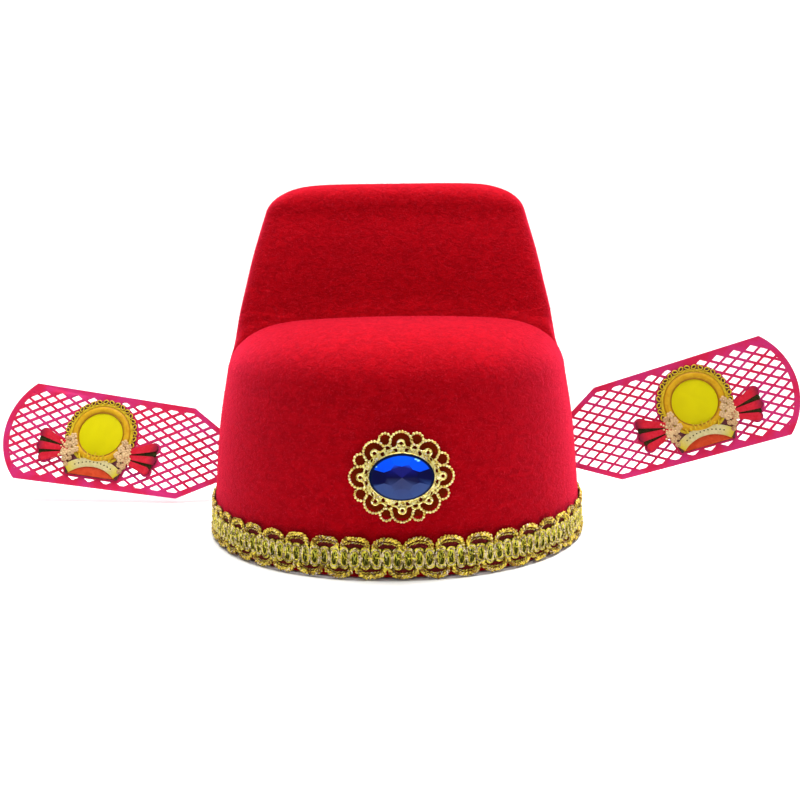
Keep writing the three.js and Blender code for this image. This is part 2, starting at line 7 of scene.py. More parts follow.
import bmesh
import bpy
from mathutils import Matrix, Vector, noise


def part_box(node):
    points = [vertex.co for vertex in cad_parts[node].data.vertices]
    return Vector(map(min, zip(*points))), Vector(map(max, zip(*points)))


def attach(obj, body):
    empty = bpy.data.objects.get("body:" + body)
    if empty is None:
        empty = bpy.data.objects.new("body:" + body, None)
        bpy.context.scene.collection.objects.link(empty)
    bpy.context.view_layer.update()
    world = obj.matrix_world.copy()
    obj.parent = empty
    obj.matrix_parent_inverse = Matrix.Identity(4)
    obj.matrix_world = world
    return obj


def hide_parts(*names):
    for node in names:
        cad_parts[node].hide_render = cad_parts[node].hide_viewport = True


MM = 0.001
FACING_FRONT = (math.pi / 2, 0, 0)  # turns a round primitive to face the front
noise.seed_set(3)  # without it the braid's threads would stray another way on each run
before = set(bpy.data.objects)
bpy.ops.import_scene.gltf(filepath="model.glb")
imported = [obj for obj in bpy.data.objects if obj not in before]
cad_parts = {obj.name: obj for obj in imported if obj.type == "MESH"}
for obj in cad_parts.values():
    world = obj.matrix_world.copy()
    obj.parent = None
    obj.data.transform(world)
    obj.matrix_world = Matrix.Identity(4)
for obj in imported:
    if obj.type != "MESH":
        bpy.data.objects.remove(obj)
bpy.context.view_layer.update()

# ---------- tools ----------


def only(*pieces):
    """Selects just these pieces, the last one active."""
    bpy.ops.object.select_all(action="DESELECT")
    for piece in pieces:
        piece.select_set(True)
    bpy.context.view_layer.objects.active = pieces[-1]


def made(name):
    """Names the piece that an operator has just added."""
    piece = bpy.context.active_object
    piece.name = name
    piece.data.name = name
    return piece


def apply_modifier(piece, kind, **settings):
    only(piece)
    modifier = piece.modifiers.new(kind.title(), kind)
    for key, value in settings.items():
        setattr(modifier, key, value)
    bpy.ops.object.modifier_apply(modifier=modifier.name)


def set_down(piece, matrix=None):
    """Puts the piece's place into its mesh, after one more move if there is one."""
    if matrix is not None:
        piece.matrix_world = matrix @ piece.matrix_world
        bpy.context.view_layer.update()
    only(piece)
    bpy.ops.object.transform_apply(location=True, rotation=True, scale=True)
    return piece


def clamped(value):
    return min(max(value, 0.0), 1.0)


def ease(value, low, high):
    """0 at low and 1 at high, with a soft start and end."""
    share = clamped((value - low) / (high - low))
    return share * share * (3 - 2 * share)


def smooth(piece, degrees=35):
    only(piece)
    bpy.ops.object.shade_smooth_by_angle(angle=math.radians(degrees))
    return piece


def joined(pieces, name):
    only(*pieces)
    bpy.ops.object.join()
    return made(name)


def copy_of(piece, name):
    only(piece)
    bpy.ops.object.duplicate()
    return made(name)


def in_edit_mode(piece, *steps):
    """Runs edit mode steps on a piece, everything selected at the start."""
    only(piece)
    bpy.ops.object.mode_set(mode="EDIT")
    bpy.ops.mesh.select_all(action="SELECT")
    for step in steps:
        step()
    bpy.ops.object.mode_set(mode="OBJECT")


def outwards(piece):
    in_edit_mode(
        piece,
        lambda: bpy.ops.mesh.remove_doubles(threshold=0.005 * MM),
        lambda: bpy.ops.mesh.normals_make_consistent(inside=False),
    )
    return piece


def node_copy(node, name):
    """A merged copy of a CAD node, ready to be worked on."""
    piece = copy_of(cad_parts[node], name)
    in_edit_mode(piece, lambda: bpy.ops.mesh.remove_doubles(threshold=0.001 * MM))
    return piece


def thread(name, points, thick, closed=False, sides=2, knots=0.0):
    """A round thread through points, as a mesh. Sides is half the section's sides less one,
    and knots is how unevenly it swells."""
    curve = bpy.data.curves.new(name, "CURVE")
    curve.dimensions = "3D"
    curve.bevel_depth = thick / 2
    curve.bevel_resolution = sides - 1
    curve.use_fill_caps = not closed
    spline = curve.splines.new("POLY")
    spline.points.add(len(points) - 1)
    for point, place in zip(spline.points, points):
        point.co = (*place, 1)
        point.radius = 1 + knots * noise.noise(place / (0.7 * MM))
    spline.use_cyclic_u = closed
    piece = bpy.data.objects.new(name, curve)
    bpy.context.collection.objects.link(piece)
    only(piece)
    bpy.ops.object.convert(target="MESH")
    return piece


def mark_depth(piece, low, high):
    """Keeps how far each point of a flat piece stands out, from 0 to 1, for its finish."""
    marks = piece.data.attributes.new("depth", "FLOAT", "POINT")
    for vertex in piece.data.vertices:
        marks.data[vertex.index].value = clamped((-vertex.co.y - low) / (high - low))


def finish_piece(piece, material, slot, *nodes):
    """Gives a finished piece its material and its body, and hides the nodes it stands for."""
    piece.data.materials.clear()
    piece.data.materials.append(material)
    for polygon in piece.data.polygons:
        polygon.material_index = 0
    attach(piece, "root")
    if nodes:
        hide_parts(*nodes)


# ---------- finishes ----------


class Finish:
    """A material, with short ways to build its nodes."""

    def __init__(self, name, **settings):
        self.material = bpy.data.materials.new(name)
        self.material.use_nodes = True
        self.tree = self.material.node_tree
        self.shader = self.tree.nodes["Principled BSDF"]
        for key, value in settings.items():
            self.shader.inputs[key.replace("_", " ")].default_value = value
        self.place = self.tree.nodes.new("ShaderNodeTexCoord").outputs["Object"]

    def add(self, kind, inputs, **settings):
        node = self.tree.nodes.new(kind)
        for key, value in settings.items():
            setattr(node, key, value)
        for key, value in inputs.items():
            if isinstance(value, bpy.types.NodeSocket):
                self.tree.links.new(value, node.inputs[key])
            else:
                node.inputs[key].default_value = value
        return node

    def noise(self, size, detail=3.0, distortion=0.0, stretch=(1, 1, 1)):
        """Soft noise whose features are about this size."""
        scaled = self.add("ShaderNodeMapping", {"Vector": self.place, "Scale": stretch})
        inputs = {"Vector": scaled.outputs[0], "Scale": 1 / size, "Detail": detail}
        inputs["Distortion"] = distortion
        return self.add("ShaderNodeTexNoise", inputs).outputs["Fac"]

    def axes(self):
        """The place's X, Y and Z, each by itself."""
        return self.add("ShaderNodeSeparateXYZ", {"Vector": self.place}).outputs

    def axis(self, axis, low, high):
        """0 to 1 between two places along an axis."""
        return self.spread(self.axes()[axis], low, high)

    def spread(self, value, low, high):
        inputs = {"Value": value, "From Min": low, "From Max": high}
        kind = {"interpolation_type": "SMOOTHSTEP"}
        return self.add("ShaderNodeMapRange", inputs, **kind).outputs["Result"]

    def mark(self, name):
        return self.add("ShaderNodeAttribute", {}, attribute_name=name).outputs["Fac"]

    def times(self, a, b):
        return self.add("ShaderNodeMath", {0: a, 1: b}, operation="MULTIPLY").outputs[0]

    def squared(self, value):
        return self.times(value, value)

    def plus(self, a, b):
        return self.add("ShaderNodeMath", {0: a, 1: b}, operation="ADD").outputs[0]

    def mix(self, share, first, second):
        node = self.add("ShaderNodeMix", {}, data_type="RGBA")
        for index, value in ((0, share), (6, first), (7, second)):
            if isinstance(value, bpy.types.NodeSocket):
                self.tree.links.new(value, node.inputs[index])
            else:
                node.inputs[index].default_value = value
        return node.outputs[2]

    def colour(self, value):
        self.tree.links.new(value, self.shader.inputs["Base Color"])

    def rough(self, value, low, high):
        inputs = {"Value": value, "To Min": low, "To Max": high}
        spread = self.add("ShaderNodeMapRange", inputs)
        self.tree.links.new(spread.outputs["Result"], self.shader.inputs["Roughness"])

    def relief(self, *layers):
        """Bumps, coarse first: each a height socket and its depth."""
        normal = None
        for height, depth in layers:
            inputs = {"Height": height, "Distance": depth, "Strength": 1.0}
            if normal is not None:
                inputs["Normal"] = normal
            normal = self.add("ShaderNodeBump", inputs).outputs["Normal"]
        self.tree.links.new(normal, self.shader.inputs["Normal"])


def felt_finish():
    finish = Finish(
        "wool felt",
        Roughness=0.95,
        Specular_IOR_Level=0.02,
        Sheen_Weight=0.85,
        Sheen_Roughness=0.42,
        Sheen_Tint=(1.0, 0.035, 0.10, 1),
    )
    nap = finish.noise(3.0 * MM, detail=4, distortion=1.2, stretch=(0.75, 0.75, 1.25))
    fibres = finish.noise(1.3 * MM, detail=3, distortion=2.2)
    specks = finish.noise(2.2 * MM, detail=2, distortion=3.5, stretch=(0.6, 0.6, 1.5))
    drift = finish.noise(26 * MM, detail=1)
    deep = (0.25, 0.0, 0.002, 1)
    clear = (0.36, 0.0008, 0.004, 1)
    pale = (0.6, 0.018, 0.035, 1)
    ground = finish.mix(finish.spread(nap, 0.3, 0.7), deep, clear)
    ground = finish.mix(finish.times(finish.spread(drift, 0.35, 0.65), 0.25), ground, deep)
    ground = finish.mix(finish.times(finish.spread(fibres, 0.5, 0.75), 0.3), ground, pale)
    ground = finish.mix(finish.times(finish.spread(specks, 0.64, 0.74), 0.4), ground, pale)
    finish.colour(finish.mix(under_brooch(finish), ground, (0.16, 0.012, 0.0, 1)))
    finish.relief((nap, 0.35 * MM), (fibres, 0.22 * MM))
    return finish.material


def under_brooch(finish):
    """1 where the felt lies in the shade of the filigree."""
    low, high = (Vector(corner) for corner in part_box("brooch_setting"))
    middle, half = (low + high) / 2, (high - low) / 2
    place = finish.axes()
    aside = finish.plus(place["X"], -middle.x)
    above = finish.plus(place["Z"], -middle.z)
    wide = finish.times(finish.squared(aside), 1 / (half.x * 0.93) ** 2)
    tall = finish.times(finish.squared(above), 1 / (half.z * 0.91) ** 2)
    shade = finish.spread(finish.plus(wide, tall), 1.04, 0.96)
    return finish.times(shade, finish.axis("Y", 0, -50 * MM))


def fuzz_finish():
    finish = Finish("felt fibres", Roughness=0.9, Specular_IOR_Level=0.05, Sheen_Weight=0.4)
    finish.shader.inputs["Sheen Tint"].default_value = (1.0, 0.08, 0.16, 1)
    tuft = finish.noise(2 * MM, detail=2)
    finish.colour(finish.mix(tuft, (0.34, 0.002, 0.012, 1), (0.6, 0.02, 0.05, 1)))
    return finish.material


# ---------- the crown ----------

# The groove pressed into the front's flat top along the foot of the tall back, which the CAD
# crown doesn't have: its depth, and the Y where it starts, is deepest from and to, and ends. It
# fades out down the sides, between two heights.
GROOVE = {"deep": 4.6 * MM, "start": -19 * MM, "low": -11.5 * MM, "up": -7.5 * MM, "end": -3.5 * MM}
GROOVE_FADE = (72 * MM, 82 * MM)


def press_groove(crown):
    """Presses the groove into both skins of the felt."""
    for vertex in crown.data.vertices:
        y, z = vertex.co.y, vertex.co.z
        down = ease(y, GROOVE["start"], GROOVE["low"]) * (1 - ease(y, GROOVE["up"], GROOVE["end"]))
        vertex.co.z -= GROOVE["deep"] * down * ease(z, *GROOVE_FADE)
    crown.data.update()


def make_crown():
    crown = node_copy("crown", "felt_crown")
    in_edit_mode(crown, lambda: bpy.ops.mesh.tris_convert_to_quads())
    apply_modifier(crown, "SUBSURF", levels=2, render_levels=2)
    press_groove(crown)
    smooth(crown, 180)
    finish_piece(crown, felt_finish(), "felt", "crown")
    return crown


FUZZ = {"per_square_metre": 420000, "long": 1.3 * MM, "thick": 0.05 * MM, "lean": 1.15}
FUZZ_SIZES = (0.45, 1.15)
HOLLOW_MIDDLE = (0, 20 * MM, 45 * MM)  # the felt's outside faces away from here
OUTSIDE_LEAST = 4 * MM
FULL_TURN = 6.28


def make_fuzz(crown):
    """Short fibres that stand off the felt, scattered over its outside."""
    bpy.ops.object.select_all(action="DESELECT")
    bpy.ops.mesh.primitive_cone_add(
        vertices=3,
        radius1=FUZZ["thick"],
        depth=FUZZ["long"],
        location=(0, 0, FUZZ["long"] * 0.35),
    )
    fibre = set_down(made("fibre"))
    fuzz = copy_of(crown, "felt_fuzz")
    group = bpy.data.node_groups.new("scattered fibres", "GeometryNodeTree")
    group.interface.new_socket("Geometry", in_out="INPUT", socket_type="NodeSocketGeometry")
    group.interface.new_socket("Geometry", in_out="OUTPUT", socket_type="NodeSocketGeometry")
    nodes, link = group.nodes, group.links.new
    into, out = nodes.new("NodeGroupInput"), nodes.new("NodeGroupOutput")
    scatter = nodes.new("GeometryNodeDistributePointsOnFaces")
    scatter.inputs["Density"].default_value = FUZZ["per_square_metre"]
    scatter.inputs["Seed"].default_value = 5
    outside = nodes.new("ShaderNodeVectorMath")
    outside.operation = "DOT_PRODUCT"
    link(nodes.new("GeometryNodeInputNormal").outputs[0], outside.inputs[0])
    from_hollow = nodes.new("ShaderNodeVectorMath")
    from_hollow.operation = "SUBTRACT"
    link(nodes.new("GeometryNodeInputPosition").outputs[0], from_hollow.inputs[0])
    from_hollow.inputs[1].default_value = HOLLOW_MIDDLE
    link(from_hollow.outputs[0], outside.inputs[1])
    facing = nodes.new("FunctionNodeCompare")
    facing.inputs["B"].default_value = OUTSIDE_LEAST
    link(outside.outputs["Value"], facing.inputs["A"])
    link(into.outputs[0], scatter.inputs["Mesh"])
    link(facing.outputs[0], scatter.inputs["Selection"])
    info = nodes.new("GeometryNodeObjectInfo")
    info.inputs["Object"].default_value = fibre
    place = nodes.new("GeometryNodeInstanceOnPoints")
    link(scatter.outputs["Points"], place.inputs["Points"])
    link(info.outputs["Geometry"], place.inputs["Instance"])
    lean = nodes.new("FunctionNodeRandomValue")
    lean.data_type = "FLOAT_VECTOR"
    lean.inputs["Min"].default_value = (-FUZZ["lean"], -FUZZ["lean"], 0)
    lean.inputs["Max"].default_value = (FUZZ["lean"], FUZZ["lean"], FULL_TURN)
    lean.inputs["Seed"].default_value = 11
    turned = nodes.new("FunctionNodeRotateRotation")
    turned.rotation_space = "LOCAL"
    link(scatter.outputs["Rotation"], turned.inputs["Rotation"])
    link(lean.outputs[0], turned.inputs["Rotate By"])
    link(turned.outputs[0], place.inputs["Rotation"])
    sizes = nodes.new("FunctionNodeRandomValue")
    sizes.inputs[2].default_value, sizes.inputs[3].default_value = FUZZ_SIZES
    sizes.inputs["Seed"].default_value = 17
    link(sizes.outputs[1], place.inputs["Scale"])
    real = nodes.new("GeometryNodeRealizeInstances")
    link(place.outputs[0], real.inputs[0])
    link(real.outputs[0], out.inputs[0])
    apply_modifier(fuzz, "NODES", node_group=group)
    bpy.data.objects.remove(fibre)
    finish_piece(fuzz, fuzz_finish(), "felt")


# ---------- places taken from the frame ----------


def flat_faces(node):
    """The flat faces of a CAD node, largest first, each as (area, normal, middle)."""
    faces = []
    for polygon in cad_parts[node].data.polygons:
        normal = polygon.normal.copy()
        level = normal.dot(polygon.center)
        for face in faces:
            if face["normal"].dot(normal) > 0.9999 and abs(face["level"] - level) < 0.02 * MM:
                break
        else:
            face = {"normal": normal, "level": level, "area": 0, "moment": Vector()}
            faces.append(face)
        face["area"] += polygon.area
        face["moment"] += polygon.area * polygon.center
    faces.sort(key=lambda face: -face["area"])
    return [(face["area"], face["normal"], face["moment"] / face["area"]) for face in faces]


def standing_frame(origin, outward, upward):
    """The matrix of a place on a surface: -Y points out of the surface, and Z up along it."""
    upward = (upward - outward * upward.dot(outward)).normalized()
    back = -outward
    across = back.cross(upward)
    return Matrix.Translation(origin) @ Matrix((across, back, upward)).transposed().to_4x4()


def brooch_frame():
    """The place of the stone's flat back, in the middle of the brooch."""
    _, normal, middle = flat_faces("brooch_stone")[0]
    return standing_frame(middle, -normal, Vector((0, 0, 1)))


def medallion_frame(node):
    """The place of the middle of a medallion's straight lower edge, on its front face."""
    faces = flat_faces(node)
    front = next(face for face in faces if face[1].y < -0.5)
    lower = next(face for face in faces if abs(face[1].dot(front[1])) < 0.1)
    origin = lower[2] + front[1] * (front[2] - lower[2]).dot(front[1])
    return standing_frame(origin, front[1], -lower[1])


RING_LOW = 8 * MM
RING_HIGH = 18 * MM


def outline(height):
    """Even steps round the crown's outer outline at a ring of the CAD crown, from the front
    towards +X."""
    found = {}
    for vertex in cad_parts["crown"].data.vertices:
        if abs(vertex.co.z - height) < 0.04 * MM:
            found[round(math.atan2(vertex.co.x, -vertex.co.y) % (2 * math.pi), 2)] = vertex.co
    corners = [found[angle] for angle in sorted(found)]
    fine = []
    for index in range(len(corners)):
        before, start, end, after = (corners[(index + k) % len(corners)] for k in (-1, 0, 1, 2))
        for step in range(16):
            t = step / 16
            bend = (2 * before - 5 * start + 4 * end - after) * t * t
            twist = (3 * start - before - 3 * end + after) * t**3
            fine.append((2 * start + (end - before) * t + bend + twist) / 2)
    lengths = [0.0]
    for index in range(len(fine)):
        lengths.append(lengths[-1] + (fine[(index + 1) % len(fine)] - fine[index]).length)
    even = []
    index = 0
    for step in range(RIM_STEPS):
        along = step / RIM_STEPS * lengths[-1]
        while lengths[index + 1] < along:
            index += 1
        share = (along - lengths[index]) / (lengths[index + 1] - lengths[index])
        even.append(fine[index].lerp(fine[(index + 1) % len(fine)], share))
    return even, lengths[-1]


RIM_STEPS = 1920
LOW_OUTLINE, RIM_LENGTH = outline(RING_LOW)
HIGH_OUTLINE = outline(RING_HIGH)[0]


def on_outline(ring, turn):
    step = (turn % 1) * RIM_STEPS
    index = int(step)
    return ring[index % RIM_STEPS].lerp(ring[(index + 1) % RIM_STEPS], step - index)


def lay_round_rim(piece):
    """Wraps a piece made flat round the rim: X along the rim from the front, Z up, -Y out."""
    for vertex in piece.data.vertices:
        turn = vertex.co.x / RIM_LENGTH
        low = on_outline(LOW_OUTLINE, turn)
        slope = on_outline(HIGH_OUTLINE, turn) - low
        along = on_outline(LOW_OUTLINE, turn + 2e-3) - on_outline(LOW_OUTLINE, turn - 2e-3)
        out = along.cross(slope).normalized()
        share = (vertex.co.z - RING_LOW) / (RING_HIGH - RING_LOW)
        vertex.co = low + slope * share - out * vertex.co.y
    piece.data.update()


def front_drop(x):
    """How far the front of the crown falls back, a distance aside from its middle."""
    return on_outline(HIGH_OUTLINE, x / RIM_LENGTH).y - HIGH_OUTLINE[0].y


# ---------- the braid ----------

SCALLOPS = 48
PITCH = RIM_LENGTH / SCALLOPS
BRAID_LOW, BRAID_HIGH = (corner[2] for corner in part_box("braid_trim"))
BAND = {"low": BRAID_LOW + 3.4 * MM, "high": BRAID_HIGH - 4.5 * MM}
BAND_MIDDLE = (BAND["low"] + BAND["high"]) / 2
SHADED_TAPE_DEEP = 0.35 * MM
# The arches of a scallop: half width, height over the band's edge, and its two strands.
ARCHES = [
    {"half": 5.2 * MM, "rise": 3.7 * MM, "strand": 0.92 * MM, "twist": 0.52 * MM, "out": 1.0 * MM},
    {"half": 4.1 * MM, "rise": 2.2 * MM, "strand": 0.5 * MM, "twist": 0.24 * MM, "out": 0.62 * MM},
]
LOWER_RISE = 0.85
STRAND_TURN = 2.7 * MM
CELLS = 3
CELL = PITCH / CELLS


def arch_rope(arch, foot, side, steps=30):
    """Two strands twisted together over an arch. Side is 1 upwards and -1 downwards."""
    rise = arch["rise"] * (1 if side > 0 else LOWER_RISE)
    centre = []
    for step in range(steps + 1):
        angle = math.pi * (1 - step / steps)
        x = arch["half"] * math.copysign(abs(math.cos(angle)) ** 0.85, math.cos(angle))
        centre.append(Vector((x, -arch["out"], foot + side * rise * math.sin(angle) ** 0.8)))
    strands = []
    for strand in (0, 1):
        points = []
        along = 0.0
        for index, point in enumerate(centre):
            ahead = centre[min(index + 1, steps)] - centre[max(index - 1, 0)]
            if index:
                along += (point - centre[index - 1]).length
            across = ahead.normalized().cross(Vector((0, 1, 0)))
            turn = 2 * math.pi * (along / STRAND_TURN + strand / 2)
            shift = across * math.cos(turn) + Vector((0, 1, 0)) * math.sin(turn)
            points.append(point + arch["twist"] * shift)
        strands.append(thread("strand", points, arch["strand"], knots=0.35))
    return strands


def make_scallops(finish):
    pieces = []
    for arch in ARCHES:
        for side, foot, middle in ((1, BAND["high"], PITCH / 2), (-1, BAND["low"], PITCH)):
            for strand in arch_rope(arch, foot, side):
                pieces.append(set_down(strand, Matrix.Translation((middle, 0, 0))))
    scallops = joined(pieces, "braid_scallops")
    mark_depth(scallops, 0.4 * MM, 1.6 * MM)
    wrap_braid(scallops)
    finish_piece(scallops, finish, "gold_braid", "braid_trim")


def repeat_scallop(piece):
    """Copies one scallop's worth of braid, laid flat, as often as the rim takes it."""
    offset = {"use_relative_offset": False, "use_constant_offset": True}
    spacing = (PITCH, 0, 0)
    apply_modifier(piece, "ARRAY", count=SCALLOPS, constant_offset_displace=spacing, **offset)


# How the threads stray, in slow and in quick waves: how long and how tall a wave is, which part
# of the noise it takes, and how far it moves a thread along, out and up.
STRAYS = (
    {"long": 5 * MM, "tall": 6 * MM, "part": 7.3, "move": (0.55 * MM, 0.16 * MM, 0.42 * MM)},
    {"long": 1.6 * MM, "tall": 1.6 * MM, "part": 3.1, "move": (0.3 * MM, 0.16 * MM, 0.28 * MM)},
)


def wrap_braid(piece):
    """Repeats one scallop's worth of braid round the rim, a little uneven, and lays it on."""
    repeat_scallop(piece)
    for vertex in piece.data.vertices:
        flat = vertex.co.copy()
        for stray in STRAYS:
            where = (flat.x / stray["long"], flat.z / stray["tall"], stray["part"])
            vertex.co += noise.noise_vector(where) * Vector(stray["move"])
    lay_round_rim(piece)
    smooth(piece, 80)


def loop_points(half, tall, x, out, first=0.0, last=2 * math.pi, steps=20):
    """A tall rounded loop in the band, or an arc of it."""
    closed = last - first > 6
    points = []
    for step in range(steps):
        angle = first + (last - first) * step / (steps if closed else steps - 1)
        side = math.copysign(abs(math.cos(angle)) ** 0.7, math.cos(angle))
        up = math.copysign(abs(math.sin(angle)) ** 0.7, math.sin(angle))
        points.append(Vector((x + half * side, -out, BAND_MIDDLE + tall * up)))
    return points


def make_band(gold, beige, dark_gold):
    tall = (BAND["high"] - BAND["low"]) / 2
    yellow, pale, core = [], [], []
    for cell in range(CELLS):
        x = (cell + 0.5) * CELL
        high = tall * (1.02, 0.96, 1.0)[cell]
        for first in (0.2 * math.pi, 1.2 * math.pi):
            last = first + 0.6 * math.pi
            cap = loop_points(1.9 * MM, high + 0.1 * MM, x, 1.15 * MM, first, last, 12)
            yellow.append(thread("cap", cap, 0.66 * MM, knots=0.3))
        ring = loop_points(1.8 * MM, high - 0.45 * MM, x, 1.1 * MM)
        pale.append(thread("ring", ring, 0.62 * MM, closed=True, knots=0.25))
        ring = loop_points(1.24 * MM, high - 1.05 * MM, x, 1.3 * MM)
        yellow.append(thread("inner", ring, 0.5 * MM, closed=True, knots=0.4))
        eight = []
        for step in range(20):
            angle = 2 * math.pi * step / 20
            out = 0.85 * MM + 0.3 * MM * math.cos(angle)
            aside = 0.62 * MM * math.sin(2 * angle)
            eight.append(Vector((x + aside, -out, BAND_MIDDLE + 0.6 * tall * math.cos(angle))))
        core.append(thread("eight", eight, 0.6 * MM, closed=True, sides=1))
        if cell != 1:
            stitch = [
                Vector((x - 0.1 * MM, -1.45 * MM, BAND_MIDDLE + 0.3 * MM)),
                Vector((x + CELL * 0.5, -1.75 * MM, BAND_MIDDLE + 0.1 * MM)),
                Vector((x + CELL * 0.8, -1.4 * MM, BAND_MIDDLE - 0.2 * MM)),
            ]
            yellow.append(thread("stitch", stitch, 0.55 * MM))
    groups = (
        ("braid_gold_threads", yellow, gold),
        ("braid_pale_cords", pale, beige),
        ("braid_twisted_core", core, dark_gold),
    )
    for name, pieces, finish in groups:
        band = joined(pieces, name)
        mark_depth(band, 0.5 * MM, 1.7 * MM)
        wrap_braid(band)
        finish_piece(band, finish, "gold_braid")


def make_shaded_tape(finish):
    """A backing behind the braid, cut to the scallops, its dark colour a painted shade for what is
    seen through the braid's gaps.
    """
    bpy.ops.object.select_all(action="DESELECT")
    bpy.ops.mesh.primitive_grid_add(x_subdivisions=16, y_subdivisions=10, size=1)
    tape = made("braid_tape")
    for vertex in tape.data.vertices:
        turn = vertex.co.x + 0.5
        top = BAND["high"] + 3.6 * MM * abs(math.sin(math.pi * turn)) ** 0.6
        low = BAND["low"] - 2.4 * MM * abs(math.cos(math.pi * turn)) ** 0.6
        vertex.co = (turn * PITCH, -0.5 * MM, low + (top - low) * (vertex.co.y + 0.5))
    repeat_scallop(tape)
    lay_round_rim(tape)
    outwards(tape)
    apply_modifier(tape, "SOLIDIFY", thickness=SHADED_TAPE_DEEP, offset=0)
    smooth(tape, 40)
    finish_piece(tape, finish, "gold_braid")


# ---------- the brooch ----------

SETTING_BACK = 1.0 * MM  # the setting's back is this far behind the stone's back
PLATE = {"x": 15.0 * MM, "z": 11.3 * MM}
BEZEL = {"x": 12.75 * MM, "z": 9.15 * MM}
BEAD = {"wide": 1.16 * MM, "pitch": 1.24 * MM}
BEND = {"start": 11 * MM, "end": 19 * MM}
# The beaded loops of a quarter, and where the eye of each sits.
BIG_LOOPS = [
    {"x": 0.0, "z": 13.1, "radius": 4.3, "eye": (0.0, 12.9)},
    {"x": 16.0, "z": 0.0, "radius": 4.2, "eye": (16.0, 0.0)},
    {"x": 10.4, "z": 9.6, "radius": 4.2, "eye": (10.3, 9.2)},
]
SMALL_LOOPS = [
    {"x": 6.1, "z": 14.4, "radius": 2.4},
    {"x": 15.8, "z": 6.6, "radius": 2.4},
]
PINHOLES = [(2.25, 10.2), (7.1, 8.85), (11.0, 6.3), (13.9, 2.2)]
PINHOLE = 0.88 * MM
PLATE_THICK = 0.7 * MM
WIRE_PLACE = SETTING_BACK - 0.35 * MM
# The bezel's three rounds of wire: the Y of each and how thick it is.
BEZEL_WIRES = ((0.45 * MM, 0.6 * MM), (-0.1 * MM, 0.6 * MM), (-0.6 * MM, 0.62 * MM))


def quarters(x, z):
    """A place and its mirror images left, right, above and below."""
    return sorted({(a * x, b * z) for a in (1, -1) for b in (1, -1)})


def ellipse(x, z, y, steps=64):
    turns = [2 * math.pi * step / steps for step in range(steps)]
    return [Vector((x * math.cos(turn), y, z * math.sin(turn))) for turn in turns]


def bead_at(place, wide, flat=1.0):
    bpy.ops.object.select_all(action="DESELECT")
    bpy.ops.mesh.primitive_ico_sphere_add(subdivisions=2, radius=wide / 2, location=place)
    bead = made("bead")
    bead.scale.y = flat
    return smooth(set_down(bead), 180)


def on_plate(place):
    """0 at the middle of the plate and 1 at its edge."""
    return (place.x / PLATE["x"]) ** 2 + (place.z / PLATE["z"]) ** 2


def make_setting(gilt):
    """The plate, the beaded loops with their eyes and chevrons, and the bezel, in one piece."""
    pieces, beads, centres = [], [], []
    for loop in BIG_LOOPS:
        centres += [(Vector((x, 0, z)) * MM, loop) for x, z in quarters(loop["x"], loop["z"])]
    for centre, loop in centres:
        radius = loop["radius"] * MM
        count = round(2 * math.pi * radius / BEAD["pitch"])
        ring = [p + centre for p in ellipse(radius, radius, WIRE_PLACE, 32)]
        pieces.append(thread("loop", ring, 0.72 * MM, closed=True))
        for place in ellipse(radius, radius, SETTING_BACK - 0.62 * MM, count):
            place = place + centre
            if on_plate(place) > 0.93:
                beads.append(place)
    for loop in SMALL_LOOPS:
        radius = loop["radius"] * MM
        count = round(2 * math.pi * radius / BEAD["pitch"])
        for x, z in quarters(loop["x"], loop["z"]):
            middle = Vector((x, 0, z)) * MM
            ring = [p + middle for p in ellipse(radius, radius, WIRE_PLACE, 24)]
            pieces.append(thread("loop", ring, 0.62 * MM, closed=True))
            for place in ellipse(radius, radius, SETTING_BACK - 0.6 * MM, count):
                place = place + middle
                inside = on_plate(place) < 1.0
                for centre, big in centres:
                    gap = Vector((place.x - centre.x, place.z - centre.z)).length
                    inside = inside or gap < (big["radius"] + 0.5) * MM
                if not inside:
                    beads.append(place)
    pieces += [bead_at(place, BEAD["wide"]) for place in beads]
    for loop in BIG_LOOPS:
        for x, z in quarters(*loop["eye"]):
            middle = Vector((x, 0, z)) * MM
            eye = [p + middle for p in ellipse(1.18 * MM, 1.18 * MM, SETTING_BACK - 0.6 * MM, 20)]
            pieces.append(thread("eye", eye, 1.1 * MM, closed=True))
            for side in (1, -1):
                inwards = Vector((-x, 0, -z)).normalized()
                aside = Vector((inwards.z, 0, -inwards.x))
                foot = middle + inwards * 2.0 * MM + aside * side * 3.9 * MM
                bend = middle + inwards * 1.5 * MM + aside * side * 1.9 * MM
                top = middle + inwards * 0.5 * MM + aside * side * 1.3 * MM
                lift = Vector((0, SETTING_BACK - 0.95 * MM, 0))
                roof = [foot + lift, bend + lift, top + lift]
                pieces.append(thread("chevron", roof, 0.8 * MM, sides=3))
    for y, thick in BEZEL_WIRES:
        ring = ellipse(BEZEL["x"], BEZEL["z"], y, 96)
        pieces.append(thread("bezel", ring, thick, closed=True, sides=3))
    setting = joined([make_plate()] + pieces, "filigree_setting")
    mark_depth(setting, -1.0 * MM, -0.05 * MM)
    bend_to_front(setting)
    set_down(setting, brooch_frame())
    smooth(setting, 50)
    finish_piece(setting, gilt, "gilt_metal", "brooch_setting")


